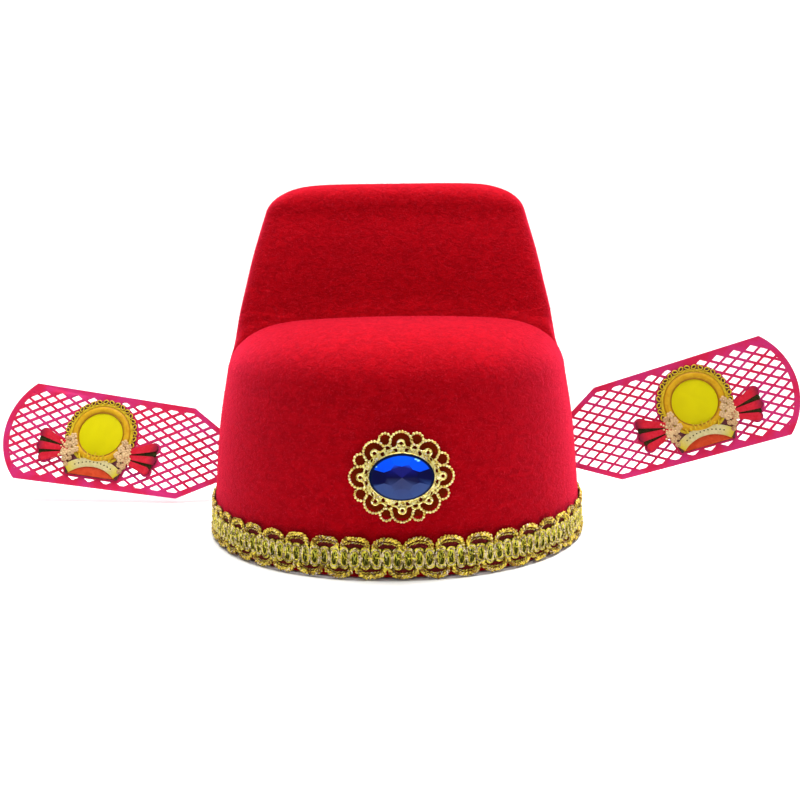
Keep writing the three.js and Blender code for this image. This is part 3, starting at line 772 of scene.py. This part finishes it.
def make_plate():
    """The oval plate behind the stone, with its pinholes."""
    bpy.ops.object.select_all(action="DESELECT")
    bpy.ops.mesh.primitive_cylinder_add(
        vertices=72,
        radius=1,
        depth=PLATE_THICK,
        location=(0, SETTING_BACK - PLATE_THICK / 2, 0),
        rotation=FACING_FRONT,
    )
    plate = made("plate")
    plate.scale = (PLATE["x"], PLATE["z"], 1)
    set_down(plate)
    bpy.ops.object.select_all(action="DESELECT")
    drills = []
    for x, z in [place for hole in PINHOLES for place in quarters(*hole)]:
        bpy.ops.mesh.primitive_cylinder_add(
            vertices=14,
            radius=PINHOLE,
            depth=5 * MM,
            location=(x * MM, 0, z * MM),
            rotation=FACING_FRONT,
        )
        drills.append(made("drill"))
    drill = set_down(joined(drills, "drill"))
    apply_modifier(plate, "BOOLEAN", object=drill, operation="DIFFERENCE", solver="EXACT")
    bpy.data.objects.remove(drill)
    apply_modifier(plate, "BEVEL", width=0.12 * MM, segments=2, limit_method="ANGLE")
    return plate


def bend_to_front(piece):
    """Bends the outer loops back so that they follow the felt."""
    for vertex in piece.data.vertices:
        aside = abs(vertex.co.x)
        vertex.co.y += front_drop(aside) * ease(aside, BEND["start"], BEND["end"])
    piece.data.update()


STONE = {"x": 12.55 * MM, "z": 9.05 * MM, "high": 5.4 * MM}
# The rounds of facets, on a stone of radius 1 and height 1: how many, the turn of the first in
# half facets, where each touches the stone's axis and how steeply it falls.
FACETS = [
    {"count": 8, "turn": 1, "crest": 1.0, "slope": 0.42},
    {"count": 8, "turn": 0, "crest": 1.22, "slope": 0.86},
    {"count": 16, "turn": 1, "crest": 2.1, "slope": 1.9},
]


def make_stone(finish):
    """An oval stone, cut facet by facet from a blank until they meet in a single point."""
    bpy.ops.object.select_all(action="DESELECT")
    bpy.ops.mesh.primitive_cylinder_add(vertices=48, radius=1, depth=2, location=(0, 0, 1))
    stone = made("faceted_stone")
    set_down(stone)
    only(stone)
    bpy.ops.object.mode_set(mode="EDIT")
    for facet in FACETS:
        for index in range(facet["count"]):
            turn = 2 * math.pi * (index + facet["turn"] / 2) / facet["count"]
            face = (facet["slope"] * math.cos(turn), facet["slope"] * math.sin(turn), 1)
            bpy.ops.mesh.select_all(action="SELECT")
            bpy.ops.mesh.bisect(
                plane_co=(0, 0, facet["crest"]), plane_no=face, use_fill=True, clear_outer=True
            )
    bpy.ops.object.mode_set(mode="OBJECT")
    stone.scale = (STONE["x"], STONE["z"], STONE["high"])
    stone.rotation_euler.x = math.pi / 2
    set_down(stone)
    outwards(stone)
    tones = stone.data.color_attributes.new("facet_blue_and_reflection", "FLOAT_COLOR", "CORNER")
    for polygon in stone.data.polygons:
        for loop in polygon.loop_indices:
            place = stone.data.vertices[stone.data.loops[loop].vertex_index].co
            inner = place.lerp(polygon.center, 0.35)
            tones.data[loop].color = facet_blue_and_reflection(inner.x / STONE["x"], inner.z / STONE["z"])
    set_down(stone, brooch_frame())
    finish_piece(stone, finish, "blue_stone", "brooch_stone")


def facet_blue_and_reflection(aside, above):
    """The stone's blue with painted reflections of the lights: bright above, slate below, dark
    between, and a painted dark shade at the rim.
    """
    if math.hypot(aside, above) > 0.97:
        return (0.0, 0.002, 0.02, 1)
    crescent = 0.5 - 0.22 * min(abs(aside), 0.55) / 0.55 + 0.3 * max(abs(aside) - 0.6, 0)
    fan = -0.05 - 0.5 * min(abs(aside), 0.5) + 0.4 * max(abs(aside) - 0.6, 0)
    if above > crescent:
        return (0.0, 0.05 + 0.05 * above, 0.75 + 0.3 * above, 1)
    if above < fan:
        share = min(abs(aside) + max(-above, 0), 1.2) / 1.2
        return (0.026, 0.028 + 0.034 * share, 0.09 + 0.13 * share, 1)
    if abs(aside) < 0.35 and above > 0.05:
        return (0.004, 0.004, 0.14, 1)
    return (0.001, 0.001, 0.035, 1)


# ---------- the wings ----------


def make_wing(side, plastic):
    """A wing with rounded holes and edges."""
    wing = node_copy(f"{side}_wing", f"{side}_lattice_wing")
    front = next(face for face in flat_faces(f"{side}_wing") if face[1].y < -0.5)[1]
    in_edit_mode(wing, lambda: bpy.ops.mesh.dissolve_limited(angle_limit=math.radians(1)))
    only(wing)
    bpy.ops.object.mode_set(mode="EDIT")
    bpy.ops.mesh.select_all(action="DESELECT")
    mesh = bmesh.from_edit_mesh(wing.data)
    for edge in mesh.edges:
        along = edge.verts[1].co - edge.verts[0].co
        across = abs(along.normalized().dot(front)) > 0.99 and along.length < 1.3 * MM
        edge.select = across and edge.is_manifold and edge.calc_face_angle() > 0.3
    bmesh.update_edit_mesh(wing.data)
    bpy.ops.mesh.bevel(offset=0.5 * MM, segments=3, affect="EDGES", clamp_overlap=True)
    bpy.ops.object.mode_set(mode="OBJECT")
    apply_modifier(wing, "BEVEL", width=0.14 * MM, segments=2, limit_method="ANGLE")
    smooth(wing, 12)
    finish_piece(wing, plastic, "wing_plastic", f"{side}_wing")


# ---------- the medallions ----------

DISC_HIGH = 22.6 * MM  # the disc's middle over the medallion's straight lower edge
DISC = 11.5 * MM
FRAME_RING = {"middle": 13.4 * MM, "wide": 3.7 * MM, "deep": 1.7 * MM}
OUTER_RING = {"middle": 15.9 * MM, "wide": 1.5 * MM, "deep": 0.7 * MM}
CHAIN = {"middle": 17.6 * MM, "links": 34, "wide": 2.5 * MM, "wire": 0.62 * MM}
PLAQUE = {"middle": -35.0 * MM, "radius": 20.0 * MM, "half": 2.45 * MM, "deep": 0.7 * MM}
PLAQUE["open"] = math.radians(42)
LOBES = [(29.0, -3.0, 2.25), (29.4, -9.9, 2.1), (27.2, -15.6, 2.0)]
ROOTS = [(16.4, -7.4, 1.3), (16.2, -9.9, 1.0), (15.8, -12.2, 1.1)]
FOLDS = [(29.4, -6.5, 1.7), (28.4, -13.0, 1.5)]
RIBBON_TIP = (27.5, 3.5)  # where the ribbons start to darken, and over what length
EDGE_LINE = 0.55 * MM  # how far the dark line reaches from the frame's edges
BLOSSOMS = [
    {"x": 13.6, "z": -3.0, "size": 3.6},
    {"x": 16.2, "z": -4.8, "size": 3.2},
    {"x": 12.6, "z": -6.4, "size": 3.9},
    {"x": 15.6, "z": -8.0, "size": 4.4},
    {"x": 10.9, "z": -9.6, "size": 3.2},
    {"x": 13.4, "z": -11.2, "size": 4.3},
    {"x": 16.6, "z": -12.0, "size": 3.8},
    {"x": 15.4, "z": -15.2, "size": 3.4},
    {"x": 13.0, "z": -14.6, "size": 2.4},
    {"x": 14.2, "z": -18.0, "size": 2.6},
]


def disc_place(x, z, out=0.0):
    """A place on the medallion, measured from the disc's middle."""
    return Vector((x, -out, DISC_HIGH + z))


def relief_ring(name, middle, wide, deep, steps=72):
    """A ring with a soft round back, lying on the medallion."""
    bpy.ops.object.select_all(action="DESELECT")
    bpy.ops.mesh.primitive_torus_add(
        major_radius=middle,
        minor_radius=wide / 2,
        major_segments=steps,
        minor_segments=12,
        location=disc_place(0, 0),
        rotation=FACING_FRONT,
    )
    ring = made(name)
    ring.scale.z = deep / wide
    return set_down(ring)


def relief_disc(name, radius, deep):
    bpy.ops.object.select_all(action="DESELECT")
    bpy.ops.mesh.primitive_cylinder_add(
        vertices=72,
        radius=radius,
        depth=deep,
        location=disc_place(0, 0, deep / 2),
        rotation=FACING_FRONT,
    )
    disc = set_down(made(name))
    apply_modifier(disc, "BEVEL", width=deep * 0.4, segments=3, limit_method="ANGLE")
    return smooth(disc)


def make_medallion(side, finishes):
    place = medallion_frame(f"{side}_medallion")
    shapes = (
        (make_frame_ring(side), "mustard"),
        (make_chain(side), "brass"),
        (relief_disc(f"{side}_medallion_disc", DISC, 0.3 * MM), "lemon"),
        (make_plaque(side), "cream"),
        (make_fan(side), "orange"),
        (make_ribbons(side), "ribbon"),
        (make_folds(side), "dark"),
        (make_blossoms(side), "blossom"),
    )
    for piece, finish in shapes:
        set_down(piece, place)
        smooth(piece, 45)
        finish_piece(piece, finishes[finish], "printed_card")


def make_frame_ring(side):
    rings = [relief_ring("frame_ring", **FRAME_RING)]
    rings.append(relief_ring("inner_lip", 11.6 * MM, 0.7 * MM, 1.2 * MM))
    ring = joined(rings, f"{side}_medallion_frame")
    lines = ring.data.attributes.new("line", "FLOAT", "POINT")
    half = FRAME_RING["wide"] / 2
    edges = (FRAME_RING["middle"] - half, FRAME_RING["middle"] + half)
    for vertex in ring.data.vertices:
        reach = math.hypot(vertex.co.x, vertex.co.z - DISC_HIGH)
        apart = min(abs(reach - edge) for edge in edges)
        lines.data[vertex.index].value = clamped(1 - apart / EDGE_LINE)
    return ring


def make_chain(side):
    """The outer ring, with small links all the way round down to the blossoms."""
    chain = [relief_ring("outer_ring", **OUTER_RING)]
    for link in range(CHAIN["links"]):
        turn = 2 * math.pi * link / CHAIN["links"]
        x, z = CHAIN["middle"] * math.cos(turn), CHAIN["middle"] * math.sin(turn)
        if z < -5 * MM:
            continue
        tilt = turn + math.pi / 2 + (0.6 if link % 2 else -0.5)
        oval = []
        for step in range(12):
            angle = 2 * math.pi * step / 12
            u = CHAIN["wide"] / 2 * math.cos(angle)
            v = CHAIN["wide"] / 2 * 0.7 * math.sin(angle)
            shift_x = u * math.cos(tilt) - v * math.sin(tilt)
            shift_z = u * math.sin(tilt) + v * math.cos(tilt)
            oval.append(disc_place(x + shift_x, z + shift_z, 0.3 * MM))
        chain.append(thread("link", oval, CHAIN["wire"], closed=True))
    for index in range(9):
        turn = math.radians(5 * (index - 4))
        foot = PLAQUE["radius"] + PLAQUE["half"] - 0.3 * MM
        tip = foot + (2.7 if index % 2 == 0 else 1.7) * MM
        ray = [
            disc_place(reach * math.sin(turn), PLAQUE["middle"] + reach * math.cos(turn), out)
            for reach, out in ((foot, 0.9 * MM), (tip, 1.2 * MM))
        ]
        chain.append(thread("ray", ray, 0.85 * MM))
    return joined(chain, f"{side}_medallion_chain")


def make_plaque(side):
    """A plain curved plaque, spun from its cross section."""
    first = PLAQUE["open"]
    centre = disc_place(0, PLAQUE["middle"])
    along = Vector((math.sin(first), 0, math.cos(first)))
    back = Vector((0, 1, 0))
    section = Matrix((along, back, along.cross(back))).transposed().to_4x4()
    place = Matrix.Translation(centre + along * PLAQUE["radius"] - back * PLAQUE["deep"] / 2)
    size = Matrix.Diagonal((2 * PLAQUE["half"], PLAQUE["deep"], 1, 1))
    bpy.ops.object.select_all(action="DESELECT")
    bpy.ops.mesh.primitive_plane_add(size=1)
    plaque = set_down(made(f"{side}_medallion_plaque"), place @ section @ size)
    spin = {"steps": 28, "angle": 2 * first, "center": centre, "axis": (0, 1, 0)}
    in_edit_mode(plaque, lambda: bpy.ops.mesh.spin(**spin))
    outwards(plaque)
    apply_modifier(plaque, "BEVEL", width=0.18 * MM, segments=2, limit_method="ANGLE")
    ends = plaque.data.attributes.new("end", "FLOAT", "POINT")
    for vertex in plaque.data.vertices:
        turn = math.atan2(vertex.co.x, vertex.co.z - DISC_HIGH - PLAQUE["middle"])
        ends.data[vertex.index].value = clamped(abs(turn) / first * 2.2 - 1.2)
    return smooth(plaque)


def make_fan(side):
    """The fan under the plaque, cut straight at the medallion's lower edge."""
    radius = PLAQUE["radius"] - PLAQUE["half"] + 0.3 * MM
    bpy.ops.object.select_all(action="DESELECT")
    bpy.ops.mesh.primitive_cylinder_add(
        vertices=96,
        radius=radius,
        depth=0.35 * MM,
        location=disc_place(0, PLAQUE["middle"], 0.175 * MM),
        rotation=FACING_FRONT,
    )
    fan = set_down(made(f"{side}_medallion_fan"))
    in_edit_mode(
        fan,
        lambda: bpy.ops.mesh.bisect(
            plane_co=(0, 0, 0.2 * MM), plane_no=(0, 0, -1), use_fill=True, clear_outer=True
        ),
    )
    outwards(fan)
    apply_modifier(fan, "BEVEL", width=0.1 * MM, segments=2, limit_method="ANGLE")
    return smooth(fan)


def hull_panel(circles, deep):
    """A flat panel stretched round circles, each (x, z, radius) in millimetres."""
    parts = []
    for x, z, radius in circles:
        bpy.ops.object.select_all(action="DESELECT")
        place = disc_place(x * MM, z * MM, deep / 2)
        bpy.ops.mesh.primitive_cylinder_add(
            vertices=24, radius=radius * MM, depth=deep, location=place, rotation=FACING_FRONT
        )
        parts.append(made("end"))
    panel = set_down(joined(parts, "panel"))
    in_edit_mode(panel, bpy.ops.mesh.convex_hull)
    outwards(panel)
    apply_modifier(panel, "BEVEL", width=deep * 0.45, segments=3, limit_method="ANGLE")
    return panel


def both_hands(pairs, deep):
    """The same panels on the right and on the left of the medallion."""
    panels = []
    for hand in (1, -1):
        for circles in pairs:
            panels.append(hull_panel([(hand * x, z, radius) for x, z, radius in circles], deep))
    return panels


def make_ribbons(side):
    """The folded ribbon lobes on both sides of the medallion."""
    lobes = list(zip(ROOTS, LOBES))
    ribbons = joined(both_hands(lobes, 1.0 * MM), f"{side}_medallion_ribbons")
    in_edit_mode(ribbons, lambda: bpy.ops.mesh.subdivide(number_cuts=3))
    ends = ribbons.data.attributes.new("end", "FLOAT", "POINT")
    start, length = RIBBON_TIP
    for vertex in ribbons.data.vertices:
        ends.data[vertex.index].value = clamped((abs(vertex.co.x) / MM - start) / length)
    return ribbons


def make_folds(side):
    """The ribbon's dark inside, seen between its lobes, and a row of dots on the plaque."""
    roots = [(16.2, -8.7, 0.9), (16.0, -11.0, 0.8)]
    folds = both_hands(list(zip(roots, FOLDS)), 0.55 * MM)
    for index in range(11):
        turn = math.radians(5.6 * (index - 5))
        x = PLAQUE["radius"] * math.sin(turn)
        z = PLAQUE["middle"] + PLAQUE["radius"] * math.cos(turn)
        folds.append(bead_at(disc_place(x, z, PLAQUE["deep"]), 0.75 * MM, 0.4))
    return joined(folds, f"{side}_medallion_folds")


def make_blossoms(side):
    """Clusters of small five-petal blossoms beside the plaque, and the ribbon's knots."""
    chance = random.Random(12)
    parts = []
    for hand in (1, -1):
        for blossom in BLOSSOMS:
            turn = chance.uniform(0, math.pi)
            size = blossom["size"] * MM
            out = chance.uniform(0.6, 1.0) * MM
            for petal in range(5):
                angle = turn + 2 * math.pi * petal / 5
                x = hand * blossom["x"] * MM + 0.3 * size * math.cos(angle)
                z = blossom["z"] * MM + 0.3 * size * math.sin(angle)
                parts.append(bead_at(disc_place(x, z, out), chance.uniform(0.46, 0.6) * size, 0.4))
            middle = disc_place(hand * blossom["x"] * MM, blossom["z"] * MM, out + 0.35 * MM)
            parts.append(bead_at(middle, 0.22 * size))
        for index in range(9):
            x = hand * (18.2 * MM + chance.uniform(-1.2, 1.2) * MM)
            place = disc_place(x, (-6.2 - 0.95 * index) * MM, 1.1 * MM)
            parts.append(bead_at(place, chance.uniform(0.8, 1.3) * MM))
    blossoms = joined(parts, f"{side}_medallion_blossoms")
    # the finish paints the petals paler where they stand out most: a painted highlight on their
    # tops
    mark_depth(blossoms, 0.75 * MM, 1.6 * MM)
    return blossoms


# ---------- finishes of the trimmings ----------


def thread_finish(name, shade, dark, light, glint, metallic, roughness):
    """Metallic or plain thread: dark to light along it, with painted glints and sparkles, and
    painted shade in random specks and in its gaps.
    """
    finish = Finish(name, Metallic=metallic, Roughness=roughness, Specular_IOR_Level=0.25)
    coarse = finish.noise(2.8 * MM, detail=2, distortion=1.5)
    fine = finish.noise(1.4 * MM, detail=2, distortion=1.0)
    colour = finish.mix(finish.spread(coarse, 0.38, 0.6), dark, light)
    # painted shade: the gap colour in random specks
    colour = finish.mix(finish.times(finish.spread(fine, 0.5, 0.36), 0.8), colour, shade)
    # painted glints in the glint colour
    colour = finish.mix(finish.times(finish.spread(fine, 0.56, 0.66), 0.75), colour, glint)
    # painted pinkish-white sparkles
    spark = finish.spread(finish.noise(1.6 * MM, detail=1, distortion=2), 0.63, 0.68)
    colour = finish.mix(finish.times(spark, 0.8), colour, (0.95, 0.8, 0.68, 1))
    # painted shade: the gap colour where the thread lies deep
    finish.colour(finish.mix(finish.spread(finish.mark("depth"), 0.1, 0.7), shade, colour))
    finish.relief((fine, 0.3 * MM))
    return finish.material


def shaded_tape_finish():
    finish = Finish("shaded braid tape", Roughness=0.8, Specular_IOR_Level=0.1)
    band = finish.times(
        finish.axis("Z", BAND["low"] - 0.2 * MM, BAND["low"] + 0.2 * MM),
        finish.axis("Z", BAND["high"] + 0.2 * MM, BAND["high"] - 0.2 * MM),
    )
    weave = finish.noise(0.6 * MM, detail=2, distortion=1)
    glint = finish.spread(finish.noise(1.1 * MM, detail=2, distortion=2), 0.62, 0.72)
    # painted shade: dark maroon, the felt seen in shade between the scallops' ropes
    maroon = finish.mix(weave, (0.03, 0.001, 0.001, 1), (0.13, 0.008, 0.006, 1))
    # painted reddish glints
    maroon = finish.mix(finish.times(glint, 0.6), maroon, (0.6, 0.05, 0.06, 1))
    # painted shade: dark olive in the band's windows
    olive = finish.mix(weave, (0.015, 0.014, 0.001, 1), (0.09, 0.085, 0.006, 1))
    finish.colour(finish.mix(band, maroon, olive))
    finish.relief((weave, 0.2 * MM))
    return finish.material


def gilt_finish():
    finish = Finish("pale gilding", Metallic=0.7, Roughness=0.3)
    tarnish = finish.noise(1.6 * MM, detail=3, distortion=1)
    clean = finish.spread(tarnish, 0.35, 0.62)
    bright = finish.mix(clean, (0.7, 0.5, 0.06, 1), (1.0, 0.92, 0.34, 1))
    # painted glints: pinkish-white spots on the gilding
    painted_glints = finish.spread(finish.noise(1.2 * MM, detail=2, distortion=2), 0.57, 0.66)
    bright = finish.mix(painted_glints, bright, (1.0, 0.94, 0.86, 1))
    # random dark brown specks
    dark_specks = finish.spread(finish.noise(1.5 * MM, detail=2, distortion=1.5), 0.36, 0.44)
    bright = finish.mix(dark_specks, (0.3, 0.17, 0.015, 1), bright)
    # painted shade: darker where the filigree lies deeper
    hollow = finish.spread(finish.mark("depth"), 0.12, 0.9)
    finish.colour(finish.mix(hollow, (0.1, 0.045, 0.003, 1), bright))
    finish.rough(tarnish, 0.2, 0.42)
    finish.relief((finish.noise(0.4 * MM, detail=3), 0.05 * MM))
    return finish.material


def stone_finish():
    finish = Finish("foiled stone", Roughness=0.12, Specular_IOR_Level=0.07)
    finish.shader.inputs["Coat Weight"].default_value = 0.1
    finish.shader.inputs["Coat Roughness"].default_value = 0.04
    tone = finish.add("ShaderNodeVertexColor", {}, layer_name="facet_blue_and_reflection").outputs["Color"]
    cloud = finish.noise(3 * MM, detail=2)
    tone = finish.mix(finish.times(cloud, 0.25), tone, (0.002, 0.006, 0.1, 1))
    low, high = (Vector(corner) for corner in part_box("brooch_stone"))
    middle, half = (low + high) / 2, (high - low) / 2
    # painted glints: small pale cyan spots on the stone
    for aside, above, size in ((0.53, 0.74, 0.075), (0.45, 0.8, 0.06), (-0.8, 0.5, 0.05)):
        spot = (middle.x + aside * half.x, middle.z + above * half.z)
        tone = finish.mix(glint_at(finish, spot, size * half.x), tone, (0.25, 0.75, 1.0, 1))
    place = finish.axes()
    across = finish.times(finish.plus(place["X"], -middle.x), 1 / half.x)
    up = finish.times(finish.plus(place["Z"], -middle.z), 1 / half.z)
    edge = finish.plus(finish.squared(across), finish.squared(up))
    # painted shade: darker near the stone's rim
    dark_edge = finish.spread(edge, 0.84, 0.93)
    finish.colour(finish.mix(dark_edge, tone, (0.0, 0.004, 0.03, 1)))
    finish.rough(cloud, 0.06, 0.18)
    return finish.material


def glint_at(finish, spot, size):
    """1 near a place seen from the front, where a glint is painted."""
    place = finish.axes()
    aside = finish.plus(place["X"], -spot[0])
    above = finish.plus(place["Z"], -spot[1])
    apart = finish.plus(finish.squared(aside), finish.times(finish.squared(above), 3))
    return finish.spread(apart, size * size, 0.0)


def plastic_finish():
    finish = Finish("crimson wing plastic", Roughness=0.5, Specular_IOR_Level=0.08)
    cloud = finish.spread(finish.noise(11 * MM, detail=3), 0.35, 0.65)
    finish.colour(finish.mix(cloud, (0.5, 0.012, 0.055, 1), (0.47, 0.022, 0.13, 1)))
    finish.rough(finish.noise(1.5 * MM, detail=3), 0.4, 0.6)
    finish.relief((finish.noise(1.2 * MM, detail=3), 0.05 * MM))
    return finish.material


def print_finish(name, dark, light, size=1.2 * MM, relief=0.05 * MM, end=None, mark=None):
    finish = Finish(name, Roughness=0.5, Specular_IOR_Level=0.08)
    speck = finish.noise(size, detail=3, distortion=0.8)
    colour = finish.mix(finish.spread(speck, 0.3, 0.7), dark, light)
    if end:
        colour = finish.mix(finish.mark(mark), colour, end)
    finish.colour(colour)
    finish.rough(speck, 0.42, 0.6)
    finish.relief((speck, relief))
    return finish.material


# ---------- the hat ----------

make_fuzz(make_crown())

# the colour of the painted shade in the threads' gaps, and the colours of their painted glints
gap_shade = (0.05, 0.02, 0.001, 1)
gold_glint = (0.95, 0.85, 0.1, 1)
cream_glint = (0.85, 0.75, 0.5, 1)
lime_glint = (0.8, 0.85, 0.12, 1)
rope = thread_finish(
    "gold rope", gap_shade, (0.26, 0.11, 0.006, 1), (0.92, 0.7, 0.08, 1), gold_glint, 0.35, 0.4
)
gold_thread = thread_finish(
    "gold thread", gap_shade, (0.4, 0.3, 0.012, 1), (0.86, 0.74, 0.07, 1), gold_glint, 0.35, 0.4
)
pale_cord = thread_finish(
    "pale cord", gap_shade, (0.34, 0.24, 0.1, 1), (0.74, 0.6, 0.31, 1), cream_glint, 0.1, 0.5
)
# its first colour is the painted shade in its gaps, its glint colour a painted glint
core_thread = thread_finish(
    "olive gold",
    (0.05, 0.04, 0.002, 1),
    (0.34, 0.32, 0.012, 1),
    (0.78, 0.76, 0.06, 1),
    lime_glint,
    0.25,
    0.4,
)
make_shaded_tape(shaded_tape_finish())
make_scallops(rope)
make_band(gold_thread, pale_cord, core_thread)

gilt = gilt_finish()
make_setting(gilt)
make_stone(stone_finish())

plastic = plastic_finish()
dark_line = (0.2, 0.07, 0.004, 1)
medallion_finishes = {
    "mustard": print_finish(
        "mustard gold",
        (0.44, 0.23, 0.006, 1),
        (0.52, 0.31, 0.01, 1),
        3 * MM,
        end=dark_line,
        mark="line",
    ),
    "lemon": print_finish("lemon enamel", (0.49, 0.44, 0.0, 1), (0.52, 0.47, 0.0, 1), 9 * MM),
    "brass": print_finish("worn brass print", (0.42, 0.27, 0.01, 1), (0.56, 0.42, 0.02, 1)),
    "cream": print_finish(
        "cream plaque",
        (0.44, 0.38, 0.17, 1),
        (0.52, 0.46, 0.24, 1),
        end=(0.46, 0.37, 0.015, 1),
        mark="end",
    ),
    "orange": print_finish(
        "orange red fan", (0.38, 0.034, 0.008, 1), (0.45, 0.05, 0.014, 1), 3 * MM
    ),
    "ribbon": print_finish(
        "ribbon red",
        (0.44, 0.008, 0.02, 1),
        (0.5, 0.016, 0.035, 1),
        2 * MM,
        end=(0.16, 0.008, 0.03, 1),
        mark="end",
    ),
    "dark": print_finish("dark fold", (0.012, 0.01, 0.002, 1), (0.035, 0.03, 0.005, 1)),
    # paler where the petals stand out: painted highlight
    "blossom": print_finish(
        "blossom cream",
        (0.17, 0.06, 0.02, 1),
        (0.48, 0.28, 0.12, 1),
        2.2 * MM,
        end=(0.62, 0.45, 0.24, 1),
        mark="depth",
    ),
}
card = print_finish("dark print", (0.06, 0.015, 0.02, 1), (0.14, 0.04, 0.05, 1))
for side in ("right", "left"):
    make_wing(side, plastic)
    make_medallion(side, medallion_finishes)
    plate_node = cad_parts[f"{side}_medallion"]
    plate_node.data.materials.clear()
    plate_node.data.materials.append(card)
    pin = node_copy(f"{side}_wing_pin", f"{side}_rivet")
    apply_modifier(pin, "BEVEL", width=0.25 * MM, segments=2, limit_method="ANGLE")
    smooth(pin, 40)
    finish_piece(pin, gilt, "gilt_metal", f"{side}_wing_pin")

# ---------- the studio ----------

FLOOR_FRONT = -3.0
FLOOR_BACK = 1.6
WALL_HIGH = 3.0
FLOOR_WIDE = 8
# The paper's tone by how far it is from the hat: white under it, darker in a ring that the thin
# wings are seen against, and pale again further out. Each pair is where a change starts and ends.
DARKER = (0.15, 0.27)
PALER = (0.6, 1.2)


def make_floor():
    bpy.ops.object.select_all(action="DESELECT")
    middle = (FLOOR_FRONT + FLOOR_BACK) / 2
    bpy.ops.mesh.primitive_plane_add(size=1, location=(0, middle, 0))
    floor = made("studio_floor")
    floor.scale = (FLOOR_WIDE, FLOOR_BACK - FLOOR_FRONT, 1)
    set_down(floor)
    only(floor)
    bpy.ops.object.mode_set(mode="EDIT")
    mesh = bmesh.from_edit_mesh(floor.data)
    bpy.ops.mesh.select_all(action="DESELECT")
    for edge in mesh.edges:
        edge.select = all(vertex.co.y > FLOOR_BACK - 0.01 for vertex in edge.verts)
    bmesh.update_edit_mesh(floor.data)
    bpy.ops.mesh.extrude_region_move(TRANSFORM_OT_translate={"value": (0, 0, WALL_HIGH)})
    mesh = bmesh.from_edit_mesh(floor.data)
    bpy.ops.mesh.select_all(action="DESELECT")
    for edge in mesh.edges:
        edge.select = all(v.co.y > FLOOR_BACK - 0.01 and v.co.z < 0.01 for v in edge.verts)
    bmesh.update_edit_mesh(floor.data)
    bpy.ops.mesh.bevel(offset=0.9, segments=16, affect="EDGES")
    bpy.ops.object.mode_set(mode="OBJECT")
    smooth(floor, 60)
    finish = Finish("pale studio paper", Roughness=0.7, Specular_IOR_Level=0.2)
    place = finish.axes()
    apart = finish.plus(finish.squared(place["X"]), finish.squared(place["Y"]))
    darker = finish.spread(apart, DARKER[0] ** 2, DARKER[1] ** 2)
    paler = finish.spread(apart, PALER[0] ** 2, PALER[1] ** 2)
    paper = finish.mix(darker, (0.84, 0.84, 0.84, 1), (0.54, 0.54, 0.54, 1))
    paper = finish.mix(paler, paper, (0.8, 0.8, 0.8, 1))
    grain = finish.noise(4 * MM, detail=4)
    finish.colour(finish.mix(finish.times(grain, 0.04), paper, (1, 1, 1, 1)))
    floor.data.materials.append(finish.material)


def soft_light(name, place, aim, size, power):
    bpy.ops.object.select_all(action="DESELECT")
    bpy.ops.object.light_add(type="AREA", location=place)
    light = made(name)
    light.data.shape = "RECTANGLE"
    light.data.size, light.data.size_y = size
    light.data.energy = power
    light.rotation_euler = (Vector(aim) - Vector(place)).to_track_quat("-Z", "Y").to_euler()


# The camera stands in front of the rim's middle, turned a little round the hat.
CAMERA = {"aside": 2.2 * MM, "away": 544.9 * MM, "high": 130.5 * MM}
LOOK_DOWN = math.radians(7.8)
ROLL = math.radians(0.8)
HAT_TURN = math.radians(1.4)
LENS_PER_WIDTH = 1.4775  # the lens's length for a sensor one wide
SENSOR_WIDE = 36


def make_camera():
    low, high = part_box("braid_trim")
    rim = Vector(((low[0] + high[0]) / 2, (low[1] + high[1]) / 2, 0))
    bpy.ops.object.select_all(action="DESELECT")
    bpy.ops.object.camera_add()
    camera = made("camera")
    camera.data.sensor_width = SENSOR_WIDE
    camera.data.lens = SENSOR_WIDE * LENS_PER_WIDTH
    camera.data.clip_start = 0.05
    turn = Matrix.Rotation(-HAT_TURN, 4, "Z")
    place = Matrix.Translation((CAMERA["aside"], -CAMERA["away"], CAMERA["high"]))
    tilt = Matrix.Rotation(math.pi / 2 - LOOK_DOWN, 4, "X")
    roll = Matrix.Rotation(-ROLL, 4, "Z")
    camera.matrix_world = Matrix.Translation(rim) @ turn @ place @ tilt @ roll
    bpy.context.scene.camera = camera


# The lights: where each stands, where it aims, its size and its power.
LIGHTS = (
    ("top_softbox", (0.1, 0.25, 1.1), (0, 0.0, 0.05), (0.9, 0.9), 38),
    ("front_softbox", (0.1, -1.5, 0.9), (0, 0, 0.06), (1.4, 0.8), 2.1),
    ("left_softbox", (-1.1, -0.2, 0.5), (0, 0, 0.08), (0.7, 0.9), 0.15),
    ("right_softbox", (1.1, -0.2, 0.5), (0, 0, 0.08), (0.7, 0.9), 0.55),
    ("backdrop_softbox", (0, 0.7, 1.15), (0, 1.6, 0.3), (2.6, 0.5), 14),
)
SKY = 0.46


def make_studio():
    make_floor()
    for light in LIGHTS:
        soft_light(*light)
    world = bpy.data.worlds.new("studio")
    bpy.context.scene.world = world
    world.use_nodes = True
    background = world.node_tree.nodes["Background"]
    background.inputs["Color"].default_value = (1, 1, 1, 1)
    background.inputs["Strength"].default_value = SKY
    view = bpy.context.scene.view_settings
    view.view_transform = "Standard"
    view.look = "None"


make_studio()
make_camera()
